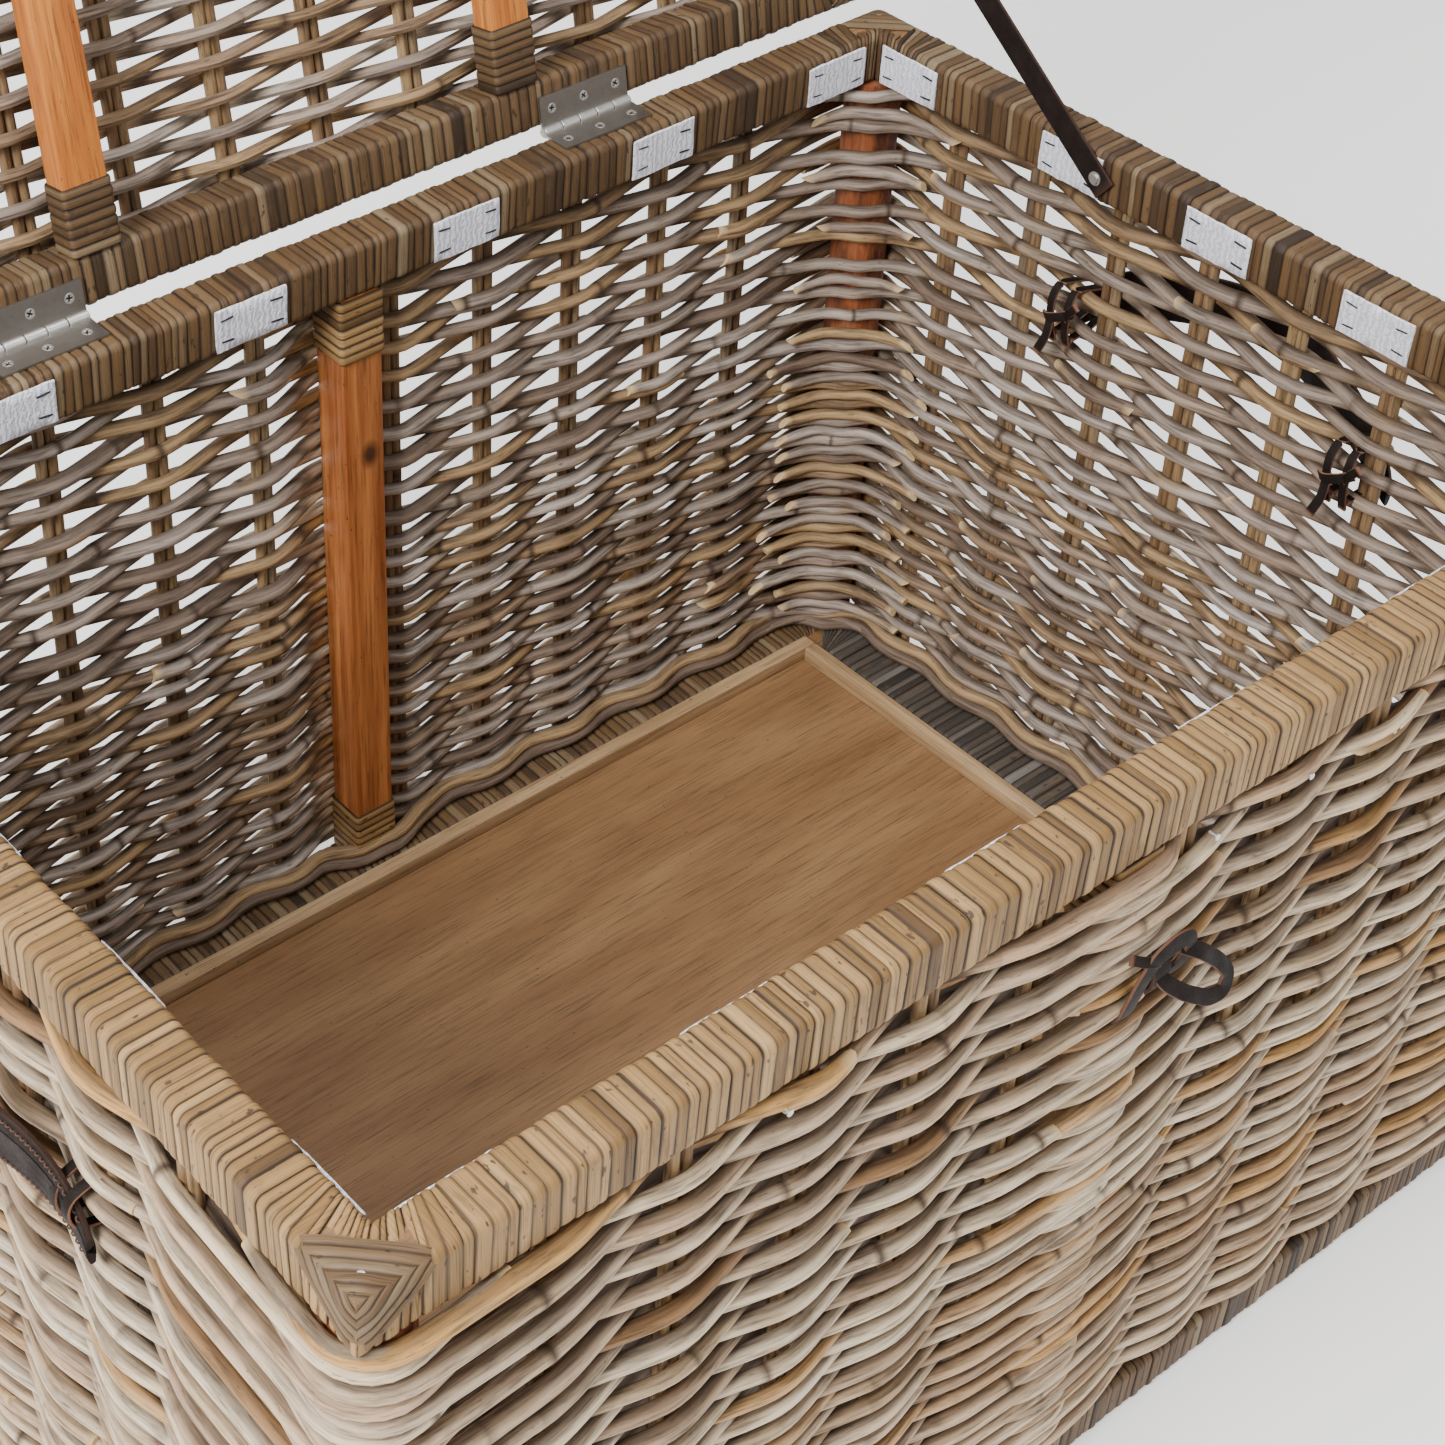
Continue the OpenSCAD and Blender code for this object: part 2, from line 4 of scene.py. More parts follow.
import bpy
import numpy as np
from bpy.props import FloatProperty, FloatVectorProperty, IntProperty, PointerProperty
from mathutils import Matrix, Vector


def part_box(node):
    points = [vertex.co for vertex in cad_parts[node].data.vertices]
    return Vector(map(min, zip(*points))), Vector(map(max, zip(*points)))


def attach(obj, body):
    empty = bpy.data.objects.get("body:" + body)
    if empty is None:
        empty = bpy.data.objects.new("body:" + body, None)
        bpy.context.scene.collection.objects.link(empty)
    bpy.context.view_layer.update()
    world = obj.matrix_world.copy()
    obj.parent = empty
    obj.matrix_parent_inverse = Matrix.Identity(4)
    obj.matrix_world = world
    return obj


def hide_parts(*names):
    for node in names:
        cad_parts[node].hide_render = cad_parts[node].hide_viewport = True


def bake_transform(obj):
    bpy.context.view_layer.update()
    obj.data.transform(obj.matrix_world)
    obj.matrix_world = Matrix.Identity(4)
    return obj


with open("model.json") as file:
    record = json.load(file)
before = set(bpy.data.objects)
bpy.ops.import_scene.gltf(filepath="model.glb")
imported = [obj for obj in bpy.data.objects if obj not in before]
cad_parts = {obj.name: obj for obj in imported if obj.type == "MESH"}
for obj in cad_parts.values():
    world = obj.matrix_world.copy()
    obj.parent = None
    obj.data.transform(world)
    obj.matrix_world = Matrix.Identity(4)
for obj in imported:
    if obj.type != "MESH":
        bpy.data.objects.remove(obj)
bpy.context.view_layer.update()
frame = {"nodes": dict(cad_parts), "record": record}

bl_info = {
    "name": "Wicker Trunk",
    "version": (1, 0, 0),
    "blender": (4, 5, 0),
    "location": "View3D > Sidebar > Trunk",
    "description": "Builds a woven cane storage trunk round its fixed frame",
    "category": "Object",
}

MM = 0.001


def linear(code):
    """Turns an sRGB hex colour into linear red, green and blue."""
    value = np.array([int(code[i:i + 2], 16) for i in (1, 3, 5)]) / 255
    return tuple(np.where(value <= 0.04045, value / 12.92, ((value + 0.055) / 1.055) ** 2.4))


# ---------------------------------------------------------------- sizes and places from the frame

def box_mm(node):
    """Lowest and highest corner of a frame node in millimetres."""
    low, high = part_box(node)
    return np.array(low) / MM, np.array(high) / MM


# The hinge pin's y and z in millimetres, and the lid's turn from shut, where it is made, to rest
LID_HINGE = next(j for j in frame["record"]["behaviour"]["joints"] if j["name"] == "lid_hinge")
LID_AXIS = np.round(np.array(LID_HINGE["pos_m"][1:]) / MM, 3)
LID_OPEN = -np.radians(LID_HINGE["range_deg"][1])


def turn_lid(points, angle=LID_OPEN):
    """Turns points about the hinge pins: y and z go round the pin line by the angle, x stays."""
    y, z = points[..., 1] - LID_AXIS[0], points[..., 2] - LID_AXIS[1]
    c, s = np.cos(angle), np.sin(angle)
    return np.stack([points[..., 0], LID_AXIS[0] + y * c - z * s, LID_AXIS[1] + y * s + z * c], -1)


def islands(node, shut=False):
    """Boxes of a frame node's separate solids, each lowest and highest corner in millimetres."""
    mesh = frame["nodes"][node].data
    co = np.zeros(len(mesh.vertices) * 3)
    mesh.vertices.foreach_get("co", co)
    co = co.reshape(-1, 3) / MM
    mesh.calc_loop_triangles()
    tri = np.zeros(len(mesh.loop_triangles) * 3, int)
    mesh.loop_triangles.foreach_get("vertices", tri)
    spots, same = np.unique(np.round(co, 2), axis=0, return_inverse=True)
    tri = same.reshape(-1)[tri].reshape(-1, 3)
    label = np.arange(len(spots))
    while True:
        low = label[tri].min(1)
        new = label.copy()
        for k in range(3):
            np.minimum.at(new, tri[:, k], low)
        new = new[new]
        if (new == label).all():
            break
        label = new
    if shut:
        spots = turn_lid(spots, -LID_OPEN)
    return [(spots[label == i].min(0), spots[label == i].max(0)) for i in np.unique(label[tri])]


# ---------------------------------------------------------------- meshes

class Bundle:
    """Collects closed swept surfaces into one mesh. Each is a grid of rings, closed at both ends."""

    def __init__(self):
        self.points, self.faces, self.marks, self.count = [], [], {}, 0

    def sweep(self, rings, **marks):
        """Adds rings (M, S, 3), each closed; quads join ring to ring and a flat face ends each end.
        The faces are turned over where the enclosed volume comes out negative."""
        m, s = rings.shape[:2]
        i, j = np.meshgrid(np.arange(m - 1), np.arange(s), indexing="ij")
        k = (j + 1) % s
        quads = np.stack([i * s + j, i * s + k, (i + 1) * s + k, (i + 1) * s + j], -1).reshape(-1, 4)
        ends = [np.arange(s)[::-1], (m - 1) * s + np.arange(s)]
        p = rings.reshape(-1, 3)
        q = p - p.mean(0)
        a, b, c, d = (q[quads[:, n]] for n in range(4))
        volume = np.einsum("ij,ij->i", a, np.cross(b, c) + np.cross(c, d)).sum()
        if volume < 0:
            quads, ends = quads[:, ::-1], [e[::-1] for e in ends]
        self.points.append(p)
        self.faces.append((quads + self.count, [e + self.count for e in ends]))
        for name, value in marks.items():
            width = 3 if name == "grain" else 1
            value = np.broadcast_to(np.asarray(value, float), (m, s, 3) if width == 3 else (m, s))
            self.marks.setdefault(name, []).append(value.reshape(-1, width))
        self.count += m * s

    def shift(self, change):
        """Moves every point collected so far by a function of the points."""
        self.points = [change(p) for p in self.points]

    def build(self, name, material, body=None, replaces=(), sharp=40.0):
        """Writes the mesh, its marks as point attributes and its material, and rides it on a body."""
        mesh = bpy.data.meshes.new(name)
        co = np.concatenate(self.points) * MM
        mesh.vertices.add(len(co))
        mesh.vertices.foreach_set("co", co.astype(np.float32).ravel())
        quads = np.concatenate([f[0] for f in self.faces])
        ends = [e for f in self.faces for e in f[1]]
        loops = np.concatenate([quads.ravel()] + ends)
        sizes = np.concatenate([np.full(len(quads), 4), [len(e) for e in ends]])
        starts = np.concatenate([[0], np.cumsum(sizes)[:-1]])
        mesh.loops.add(len(loops))
        mesh.loops.foreach_set("vertex_index", loops.astype(np.int32))
        mesh.polygons.add(len(sizes))
        mesh.polygons.foreach_set("loop_start", starts.astype(np.int32))
        mesh.update(calc_edges=True)
        mesh.shade_smooth()
        if sharp:
            mesh.set_sharp_from_angle(angle=np.radians(sharp))
        for mark, values in self.marks.items():
            values = np.concatenate(values)
            vector = values.shape[1] == 3
            layer = mesh.attributes.new(mark, "FLOAT_VECTOR" if vector else "FLOAT", "POINT")
            layer.data.foreach_set("vector" if vector else "value", values.astype(np.float32).ravel())
        mesh.materials.append(material)
        obj = bpy.data.objects.new(name, mesh)
        bpy.context.scene.collection.objects.link(obj)
        if body:
            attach(obj, body)
        if replaces:
            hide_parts(*replaces)
        return obj


def unit(v):
    """Scales vectors to length one."""
    return v / np.maximum(np.linalg.norm(v, axis=-1, keepdims=True), 1e-9)


def squared(tangent, up):
    """The given side direction, turned square to each tangent."""
    normal = np.broadcast_to(np.asarray(up, float), tangent.shape)
    return unit(normal - tangent * (normal * tangent).sum(-1, keepdims=True))


def distances(path):
    """Distance of each point of a path from its start, along the path."""
    return np.concatenate([[0], np.cumsum(np.linalg.norm(np.diff(path, axis=0), axis=1))])


def points_at(path, far):
    """Points at given distances along a path, straight between the path's own points."""
    table = distances(path)
    return np.stack([np.interp(far, table, path[:, k]) for k in range(path.shape[1])], -1)


def raised(plan, z):
    """Puts points of the ground plan at height z."""
    return np.column_stack([plan, np.broadcast_to(z, len(plan))])


def tube(path, radius, up, sides=10, slant=(0.0, 0.0), start=0.0):
    """Rings round a path: each ring point is path + radius (N cos a + B sin a), N the given side direction
    squared to the path and B across both. Slant leans the two end rings along the path."""
    path = np.asarray(path, float)
    tangent = unit(np.gradient(path, axis=0))
    normal = squared(tangent, up)
    across = np.cross(tangent, normal)
    radius = np.broadcast_to(np.asarray(radius, float), path.shape[:1])[:, None]
    a = np.arange(sides) / sides * 2 * np.pi
    u, v = radius * np.cos(a), radius * np.sin(a)
    rings = path[:, None] + normal[:, None] * u[..., None] + across[:, None] * v[..., None]
    rings[0] += tangent[0] * (slant[0] * v[0])[:, None]
    rings[-1] += tangent[-1] * (slant[1] * v[-1])[:, None]
    along = start + distances(path)
    grain = np.stack([np.broadcast_to(along[:, None], u.shape), u, v], -1) * MM
    return rings, grain


def lay_rod(bundle, path, radius, up, sides=10, slant=(0.0, 0.0), start=0.0, tone=0.5, knot=0.0, side=0.0,
            cut_ends=True):
    """One cane rod: a tube with its fibre mark, tone, nodes and pale cut ends. Side is 0 inside the trunk
    and 1 outside, or a function that gives it for the rings. Near 0.5 the rod finish paints shade on it:
    a fixed side of 0.6 gets its whole share, 0.7 about half and 0.8 a third."""
    rings, grain = tube(path, radius, up, sides, slant, start)
    cut = np.zeros((len(path), 1))
    cut[[0, -1]] = cut_ends
    side = side(rings) if callable(side) else side
    bundle.sweep(rings, grain=grain, tone=tone, knot=knot, cut=cut, side=side)


def flat_section(width, height, radius, corner=4):
    """Outline of a rounded rectangle, counterclockwise about its centre: corner arcs joined by straights."""
    arcs = []
    for k, (sx, sy) in enumerate(((1, 1), (-1, 1), (-1, -1), (1, -1))):
        a = np.linspace(k, k + 1, corner) * np.pi / 2
        arcs.append(np.stack([sx * (width / 2 - radius) + radius * np.cos(a),
                              sy * (height / 2 - radius) + radius * np.sin(a)], -1))
    return np.concatenate(arcs)


def smooth_noise(rng, count, spacing, length):
    """Smooth random values between about -1 and 1 at evenly spaced samples: random knots every
    spacing along the length, joined by a cosine ease."""
    knots = rng.uniform(-1, 1, int(length / spacing) + 3)
    t = np.linspace(0, length / spacing, count)
    i = t.astype(int)
    f = (1 - np.cos((t - i) * np.pi)) / 2
    return knots[i] * (1 - f) + knots[i + 1] * f


def ease(t):
    """Smooth step from 0 to 1: three t squared less two t cubed."""
    t = np.clip(t, 0, 1)
    return t * t * (3 - 2 * t)


# ---------------------------------------------------------------- materials

# Short names of the nodes: type, inputs in the order they are given, output, and settings that never change
NODES = {
    "mark": ("ShaderNodeAttribute", (), "Fac"),
    "mark_vector": ("ShaderNodeAttribute", (), "Vector"),
    "place": ("ShaderNodeTexCoord", (), "Object"),
    "stretch": ("ShaderNodeMapping", ("Vector", "Scale", "Location"), 0),
    "noise": ("ShaderNodeTexNoise", ("Vector", "Scale", "Detail", "Roughness"), "Fac"),
    "cells": ("ShaderNodeTexVoronoi", ("Vector", "Scale"), "Distance"),
    "waves": ("ShaderNodeTexWave", ("Vector", "Scale", "Distortion", "Detail", "Detail Scale"), "Fac"),
    "ramp": ("ShaderNodeValToRGB", ("Fac",), "Color"),
    "span": ("ShaderNodeMapRange", ("Value", "From Min", "From Max", "To Max", "To Min"), 0),
    "mix": ("ShaderNodeMix", (0, 6, 7), 2, {"data_type": "RGBA"}),
    "math": ("ShaderNodeMath", (0, 1), 0),
    "vector": ("ShaderNodeVectorMath", (0, 1), 0),
    "length": ("ShaderNodeVectorMath", (0,), "Value", {"operation": "LENGTH"}),
    "height": ("ShaderNodeSeparateXYZ", ("Vector",), "Z"),
    "bump": ("ShaderNodeBump", ("Height", "Distance", "Strength", "Normal"), 0),
}


def fill(node, inputs):
    """Links or sets each named input of a node. A colour of three values is made opaque."""
    for key, value in inputs.items():
        socket = node.inputs[key]
        if isinstance(value, bpy.types.NodeSocket):
            node.id_data.links.new(value, socket)
        else:
            socket.default_value = (*value, 1) if socket.type == "RGBA" and len(value) == 3 else value


def add(tree, name, *inputs, stops=(), **settings):
    """Adds a node by its short name with its settings, a ramp with its (place, colour) stops, fills its
    inputs in order with values or links, and gives its output."""
    kind, sockets, out, *fixed = NODES[name]
    node = tree.nodes.new(kind)
    for key, value in {**(fixed[0] if fixed else {}), **settings}.items():
        setattr(node, key, value)
    if stops:
        band = node.color_ramp.elements
        while len(band) < len(stops):
            band.new(0.5)
        for element, (place, shade) in zip(band, stops):
            element.position, element.color = place, (*np.broadcast_to(shade, 3), 1)
    fill(node, dict(zip(sockets, inputs)))
    return node.outputs[out]


def blank(name):
    """A new material with its node tree and its shader."""
    material = bpy.data.materials.new(name)
    material.use_nodes = True
    return material, material.node_tree, material.node_tree.nodes["Principled BSDF"]


def stain(tree, body, pattern, low, high, share, code):
    """Lays a colour over the body: none of it where the pattern is low, its whole share where it is high."""
    return add(tree, "mix", add(tree, "span", pattern, low, high, share), body, linear(code))


def darken(tree, body, pattern, greys, share=0.8):
    """Multiplies the body by the greys that the pattern picks from a ramp."""
    return add(tree, "mix", share, body, add(tree, "ramp", pattern, stops=greys), blend_type="MULTIPLY")


def cane_rod(name, inside, outside, dirt=0.75):
    """Round cane rods with their bark on, sun-greyed: patches of golden bark some 60 mm long, browner ones
    of 40 mm, and fibre streaks some 2 mm apart, coarser than real so that they show. Nodes and flecks are
    dark, cut ends pale, and shade is painted dark brown in the creases where rods touch or pass a stake. Dull
    sheen."""
    material, tree, shader = blank(name)
    grain = add(tree, "mark_vector", attribute_name="grain")
    tone, side, knot, cut = (add(tree, "mark", attribute_name=key) for key in ("tone", "side", "knot", "cut"))
    shift = add(tree, "vector", tone, (7.0, 3.0, 1.0), operation="MULTIPLY")
    body = add(tree, "mix", side, add(tree, "ramp", tone, stops=inside),
               add(tree, "ramp", tone, stops=outside))
    golden = add(tree, "noise", add(tree, "stretch", grain, (16, 60, 60), shift), 1.0, 2.0, 0.5)
    body = stain(tree, body, golden, 0.58, 0.72, 0.6, "#A98B62")
    further = add(tree, "vector", shift, (3.1, 5.7, 1.3), operation="ADD")
    patch = add(tree, "noise", add(tree, "stretch", grain, (24, 110, 110), further), 1.0, 3.0, 0.6)
    body = stain(tree, body, patch, 0.56, 0.74, 0.75, "#6A5442")
    streak = add(tree, "noise", add(tree, "stretch", grain, (30, 430, 430), shift), 1.0, 4.0, 0.62)
    body = darken(tree, body, streak, ((0.3, 0.16), (0.43, 0.62), (0.55, 1.0), (0.76, 1.0)), 0.85)
    fleck = add(tree, "noise", add(tree, "stretch", grain, (110, 500, 500), shift), 1.0, 3.0, 0.6)
    body = stain(tree, body, fleck, 0.64, 0.74, 0.7, "#3E2E21")
    body = stain(tree, body, knot, 0.45, 0.9, 0.85, "#3C2A1E")
    # Painted shade, dark brown, where the rod's surface nears the weave's middle, as it does beside a stake.
    recess = add(tree, "math", add(tree, "math", side, 0.5, operation="SUBTRACT"), operation="ABSOLUTE")
    body = stain(tree, body, recess, 0.46, 0.1, dirt, "#3E2D20")
    # Painted shade, dark brown, on the rod's flanks where it touches the rods beside it.
    crease = add(tree, "math", add(tree, "height", grain), operation="ABSOLUTE")
    body = stain(tree, body, crease, 0.0029, 0.0052, 0.62 if dirt else 0.0, "#46362A")
    fibres = add(tree, "bump", streak, 0.0009, 0.8)
    fill(shader, {"Base Color": add(tree, "mix", cut, body, linear("#CDB084")),
                  "Roughness": add(tree, "span", streak, 0.3, 0.7, 0.56, 0.8), "Specular IOR Level": 0.35,
                  "Normal": add(tree, "bump", patch, 0.002, 0.35, fibres)})
    return material


def cane_strip(name, tones):
    """Flat split cane wound edge to edge: fibres just under a millimetre apart run round the bar, each
    strip has its own tone, blotches are 10 to 20 mm and dark flecks 4 to 8 mm long, and shade is painted
    nearly black in the grooves between strips. Worn satin skin."""
    material, tree, shader = blank(name)
    grain = add(tree, "mark_vector", attribute_name="grain")
    tone, groove = (add(tree, "mark", attribute_name=key) for key in ("tone", "groove"))
    streak = add(tree, "noise", add(tree, "stretch", grain, (1300, 26, 26)), 1.0, 4.0, 0.6)
    body = darken(tree, add(tree, "ramp", tone, stops=tones), streak,
                  ((0.3, 0.3), (0.45, 0.8), (0.58, 1.0), (0.8, 1.0)))
    blotch = add(tree, "noise", add(tree, "stretch", grain, (90, 45, 45)), 1.0, 3.0, 0.6)
    body = stain(tree, body, blotch, 0.56, 0.72, 0.55, "#6B5338")
    fleck = add(tree, "noise", add(tree, "stretch", grain, (260, 120, 120)), 1.0, 2.0, 0.5)
    body = stain(tree, body, fleck, 0.66, 0.71, 0.85, "#3A2A1B")
    # The groove mark paints shade, nearly black, between the strips.
    fill(shader, {"Base Color": stain(tree, body, groove, 0.1, 0.8, 0.95, "#2E2015"),
                  "Roughness": add(tree, "span", streak, 0.3, 0.7, 0.46, 0.72), "Specular IOR Level": 0.4,
                  "Normal": add(tree, "bump", streak, 0.0006, 0.8)})
    return material


def sawn_wood(name, light, dark, along, fine, pore, marked=False, knots=(), broad=110.0):
    """Planed timber: growth bands, broad to the metre across the grain and 5 along it, and pores, fine to
    the metre across and 22 along, with a few dark specks and oval knots. Satin from handling."""
    material, tree, shader = blank(name)
    vector = add(tree, "mark_vector", attribute_name="grain") if marked else add(tree, "place")
    lengthwise = np.array(along) > 0
    band = add(tree, "noise", add(tree, "stretch", vector, np.where(lengthwise, 5.0, broad)), 1.0, 3.0, 0.55)
    body = add(tree, "ramp", band, stops=((0.3, dark), (0.5, np.add(dark, light) / 2), (0.66, light)))
    pores = add(tree, "noise", add(tree, "stretch", vector, np.where(lengthwise, 22.0, fine)), 1.0, 4.0, 0.65)
    body = darken(tree, body, pores, ((0.34, 0.36), (0.48, 0.9), (0.66, 1.0)))
    speck = add(tree, "noise", add(tree, "stretch", vector, np.where(lengthwise, 200.0, 420.0)),
                1.0, 2.0, 0.5)
    body = stain(tree, body, speck, 0.70, 0.76, pore * 2, "#3A2617")
    for centre, size in knots:
        way = add(tree, "vector", vector, centre, operation="SUBTRACT")
        far = add(tree, "length", add(tree, "vector", way, 1 / np.array(size), operation="MULTIPLY"))
        share = add(tree, "ramp", far, stops=((0.35, 0.95), (0.8, 0.35), (1.0, 0.0)))
        body = add(tree, "mix", share, body, linear("#3B1B0A"))
    fill(shader, {"Base Color": body, "Roughness": 0.5, "Normal": add(tree, "bump", pores, 0.0005, 0.6)})
    return material


def pole_bark(name):
    """Round pole with thin red-brown bark: drawn-out pale cracks and darker scars, matt."""
    material, tree, shader = blank(name)
    vector = add(tree, "place")
    patch = add(tree, "noise", add(tree, "stretch", vector, (60, 60, 18)), 1.0, 4.0, 0.6)
    body = add(tree, "ramp", patch, stops=stops((0.32, 0.48, 0.62, 0.76), "#4C2714 #8E4C26 #A8623A #8A7460"))
    streak = add(tree, "noise", add(tree, "stretch", vector, (300, 300, 30)), 1.0, 5.0, 0.7)
    fill(shader, {"Base Color": darken(tree, body, streak, ((0.3, 0.5), (0.5, 0.9), (0.72, 1.2))),
                  "Roughness": 0.75, "Normal": add(tree, "bump", streak, 0.002, 0.8)})
    return material


def rolled_steel(name, tone, rust):
    """Zinc-plated rolled steel: fine rolling lines, smudges of 8 mm that dull it, small spots of rust."""
    material, tree, shader = blank(name)
    vector = add(tree, "place")
    smudge = add(tree, "noise", add(tree, "stretch", vector, (120, 120, 120)), 1.0, 4.0, 0.6)
    line = add(tree, "noise", add(tree, "stretch", vector, (60, 1800, 1800)), 1.0, 2.0, 0.5)
    body = add(tree, "mix", smudge, tuple(np.array(tone) * 0.62), tone)
    body = stain(tree, body, add(tree, "noise", vector, 210.0, 3.0, 0.55), 0.62, 0.72, rust, "#5A3420")
    # Painted shade: nearly black is mixed in where the mark is set, in the slits between knuckles, the screws'
    # cross recesses and round the screw heads' feet.
    dirt = add(tree, "mark", attribute_name="dirt")
    fill(shader, {"Base Color": add(tree, "mix", dirt, body, linear("#1E1A17")), "Metallic": 0.9,
                  "Roughness": add(tree, "span", smudge, 0.3, 0.7, 0.28, 0.5),
                  "Normal": add(tree, "bump", line, 0.00015, 0.6)})
    return material


def hide_leather(name, tone, edge_tone):
    """Vegetable-tanned hide, dyed: pebbled grain about a millimetre across, worn paler patches of 15 mm,
    raw tan edges where it is cut."""
    material, tree, shader = blank(name)
    vector = add(tree, "place")
    wear = add(tree, "noise", add(tree, "stretch", vector, (70, 70, 70)), 1.0, 4.0, 0.6)
    pale = tuple(np.minimum(np.array(tone) * 1.7 + 0.004, 1))
    body = add(tree, "mix", add(tree, "span", wear, 0.4, 0.75, 0.85), tone, pale)
    pebbles = add(tree, "bump", add(tree, "cells", vector, 900.0), 0.0004, 0.5)
    fill(shader, {"Base Color": add(tree, "mix", add(tree, "mark", attribute_name="edge"), body, edge_tone),
                  "Roughness": add(tree, "span", wear, 0.3, 0.7, 0.6, 0.78), "Specular IOR Level": 0.2,
                  "Normal": add(tree, "bump", wear, 0.002, 0.3, pebbles)})
    return material


def tape_cloth(name, tone):
    """Woven polyester tape with short loops: uneven ripples of loops drawn some 2 mm apart, coarser than
    real so that they show, and a bluish white."""
    material, tree, shader = blank(name)
    vector = add(tree, "mark_vector", attribute_name="grain")
    loops = add(tree, "waves", vector, 70.0, 7.0, 3.0, 3.0, bands_direction="X")
    body = add(tree, "mix", add(tree, "span", loops, 0.1, 0.6, 1.0), tuple(np.array(tone) * 0.74), tone)
    body = darken(tree, body, add(tree, "noise", vector, 700.0, 3.0, 0.55), ((0.3, 0.6), (0.7, 1.1)), 0.35)
    fill(shader, {"Base Color": body, "Roughness": 0.9, "Sheen Weight": 0.3,
                  "Normal": add(tree, "bump", loops, 0.0006, 0.7)})
    return material


def painted_floor(name, tone):
    """Matt white paint with a barely seen roller texture, lit a little from within as a studio floor is."""
    material, tree, shader = blank(name)
    roller = add(tree, "noise", add(tree, "place"), 3.0, 3.0, 0.55)
    fill(shader, {"Base Color": add(tree, "ramp", roller, stops=((0.3, np.array(tone) * 0.985), (0.7, tone))),
                  "Roughness": 0.85, "Emission Color": (1, 1, 1), "Emission Strength": 0.6})
    return material


# ---------------------------------------------------------------- settings

def colour(label, code, note):
    """A colour setting with its name, sRGB hex default and description."""
    return FloatVectorProperty(name=label, description=note, subtype="COLOR", size=3, min=0, max=1,
                               default=linear(code))


def length(label, value, note):
    """A length setting with its name, default in millimetres and description."""
    return FloatProperty(name=label, description=note, unit="LENGTH", default=value * MM, min=0)


class TrunkSizes(bpy.types.PropertyGroup):
    """Sizes that set how the cane is worked."""
    rod_upper: length("Upper rod", 10.4, "Diameter of the rods in the open upper rows")
    rod_lower: length("Lower rod", 9.4, "Diameter of the rods in the close lower rows")
    pitch_upper: length("Upper pitch", 12.0, "Height of one row where the weave is open")
    pitch_lower: length("Lower pitch", 8.65, "Height of one row where the weave is close")
    close_top: length("Close weave top", 310, "Height up to which the weave is close")
    lid_pitch: length("Lid pitch", 11.0, "Spacing of the rods across the lid")
    strip: length("Strip", 7.0, "Width of the cane strips wound round the bars")
    stake: length("Stake", 8.0, "Diameter of the standing rods")
    seed: IntProperty(name="Seed", description="Chooses the random variation of the cane", default=7)


class TrunkColours(bpy.types.PropertyGroup):
    """Colours of the finishes."""
    timber: colour("Timber", "#C87E42", "Planed uprights and struts")
    timber_dark: colour("Timber grain", "#8E4A1E", "Dark growth bands of the uprights and struts")
    plywood: colour("Plywood", "#94704A", "Base panel")
    plywood_dark: colour("Plywood grain", "#7C5836", "Dark grain of the base panel")
    batten: colour("Batten", "#C2A27A", "Pale battens round the base panel")
    steel: colour("Steel", "#A09A92", "Hinge leaves")
    screw: colour("Screw", "#E4E2DE", "Screw heads and nails")
    staple: colour("Staple", "#3A3D46", "Staple wire")
    tape: colour("Tape", "#F0F1FC", "Cloth patches round the rim")
    leather: colour("Leather", "#1A110E", "Straps and handles")
    thong: colour("Thong", "#18100D", "Laces and closure")
    raw_edge: colour("Raw edge", "#86604C", "Cut edges of the leather")
    floor: colour("Floor", "#F4F4F2", "Floor paint")


MATERIALS = {}


def stops(places, codes):
    """Pairs each place along a ramp with its colour."""
    return tuple(zip(places, map(linear, codes.split())))


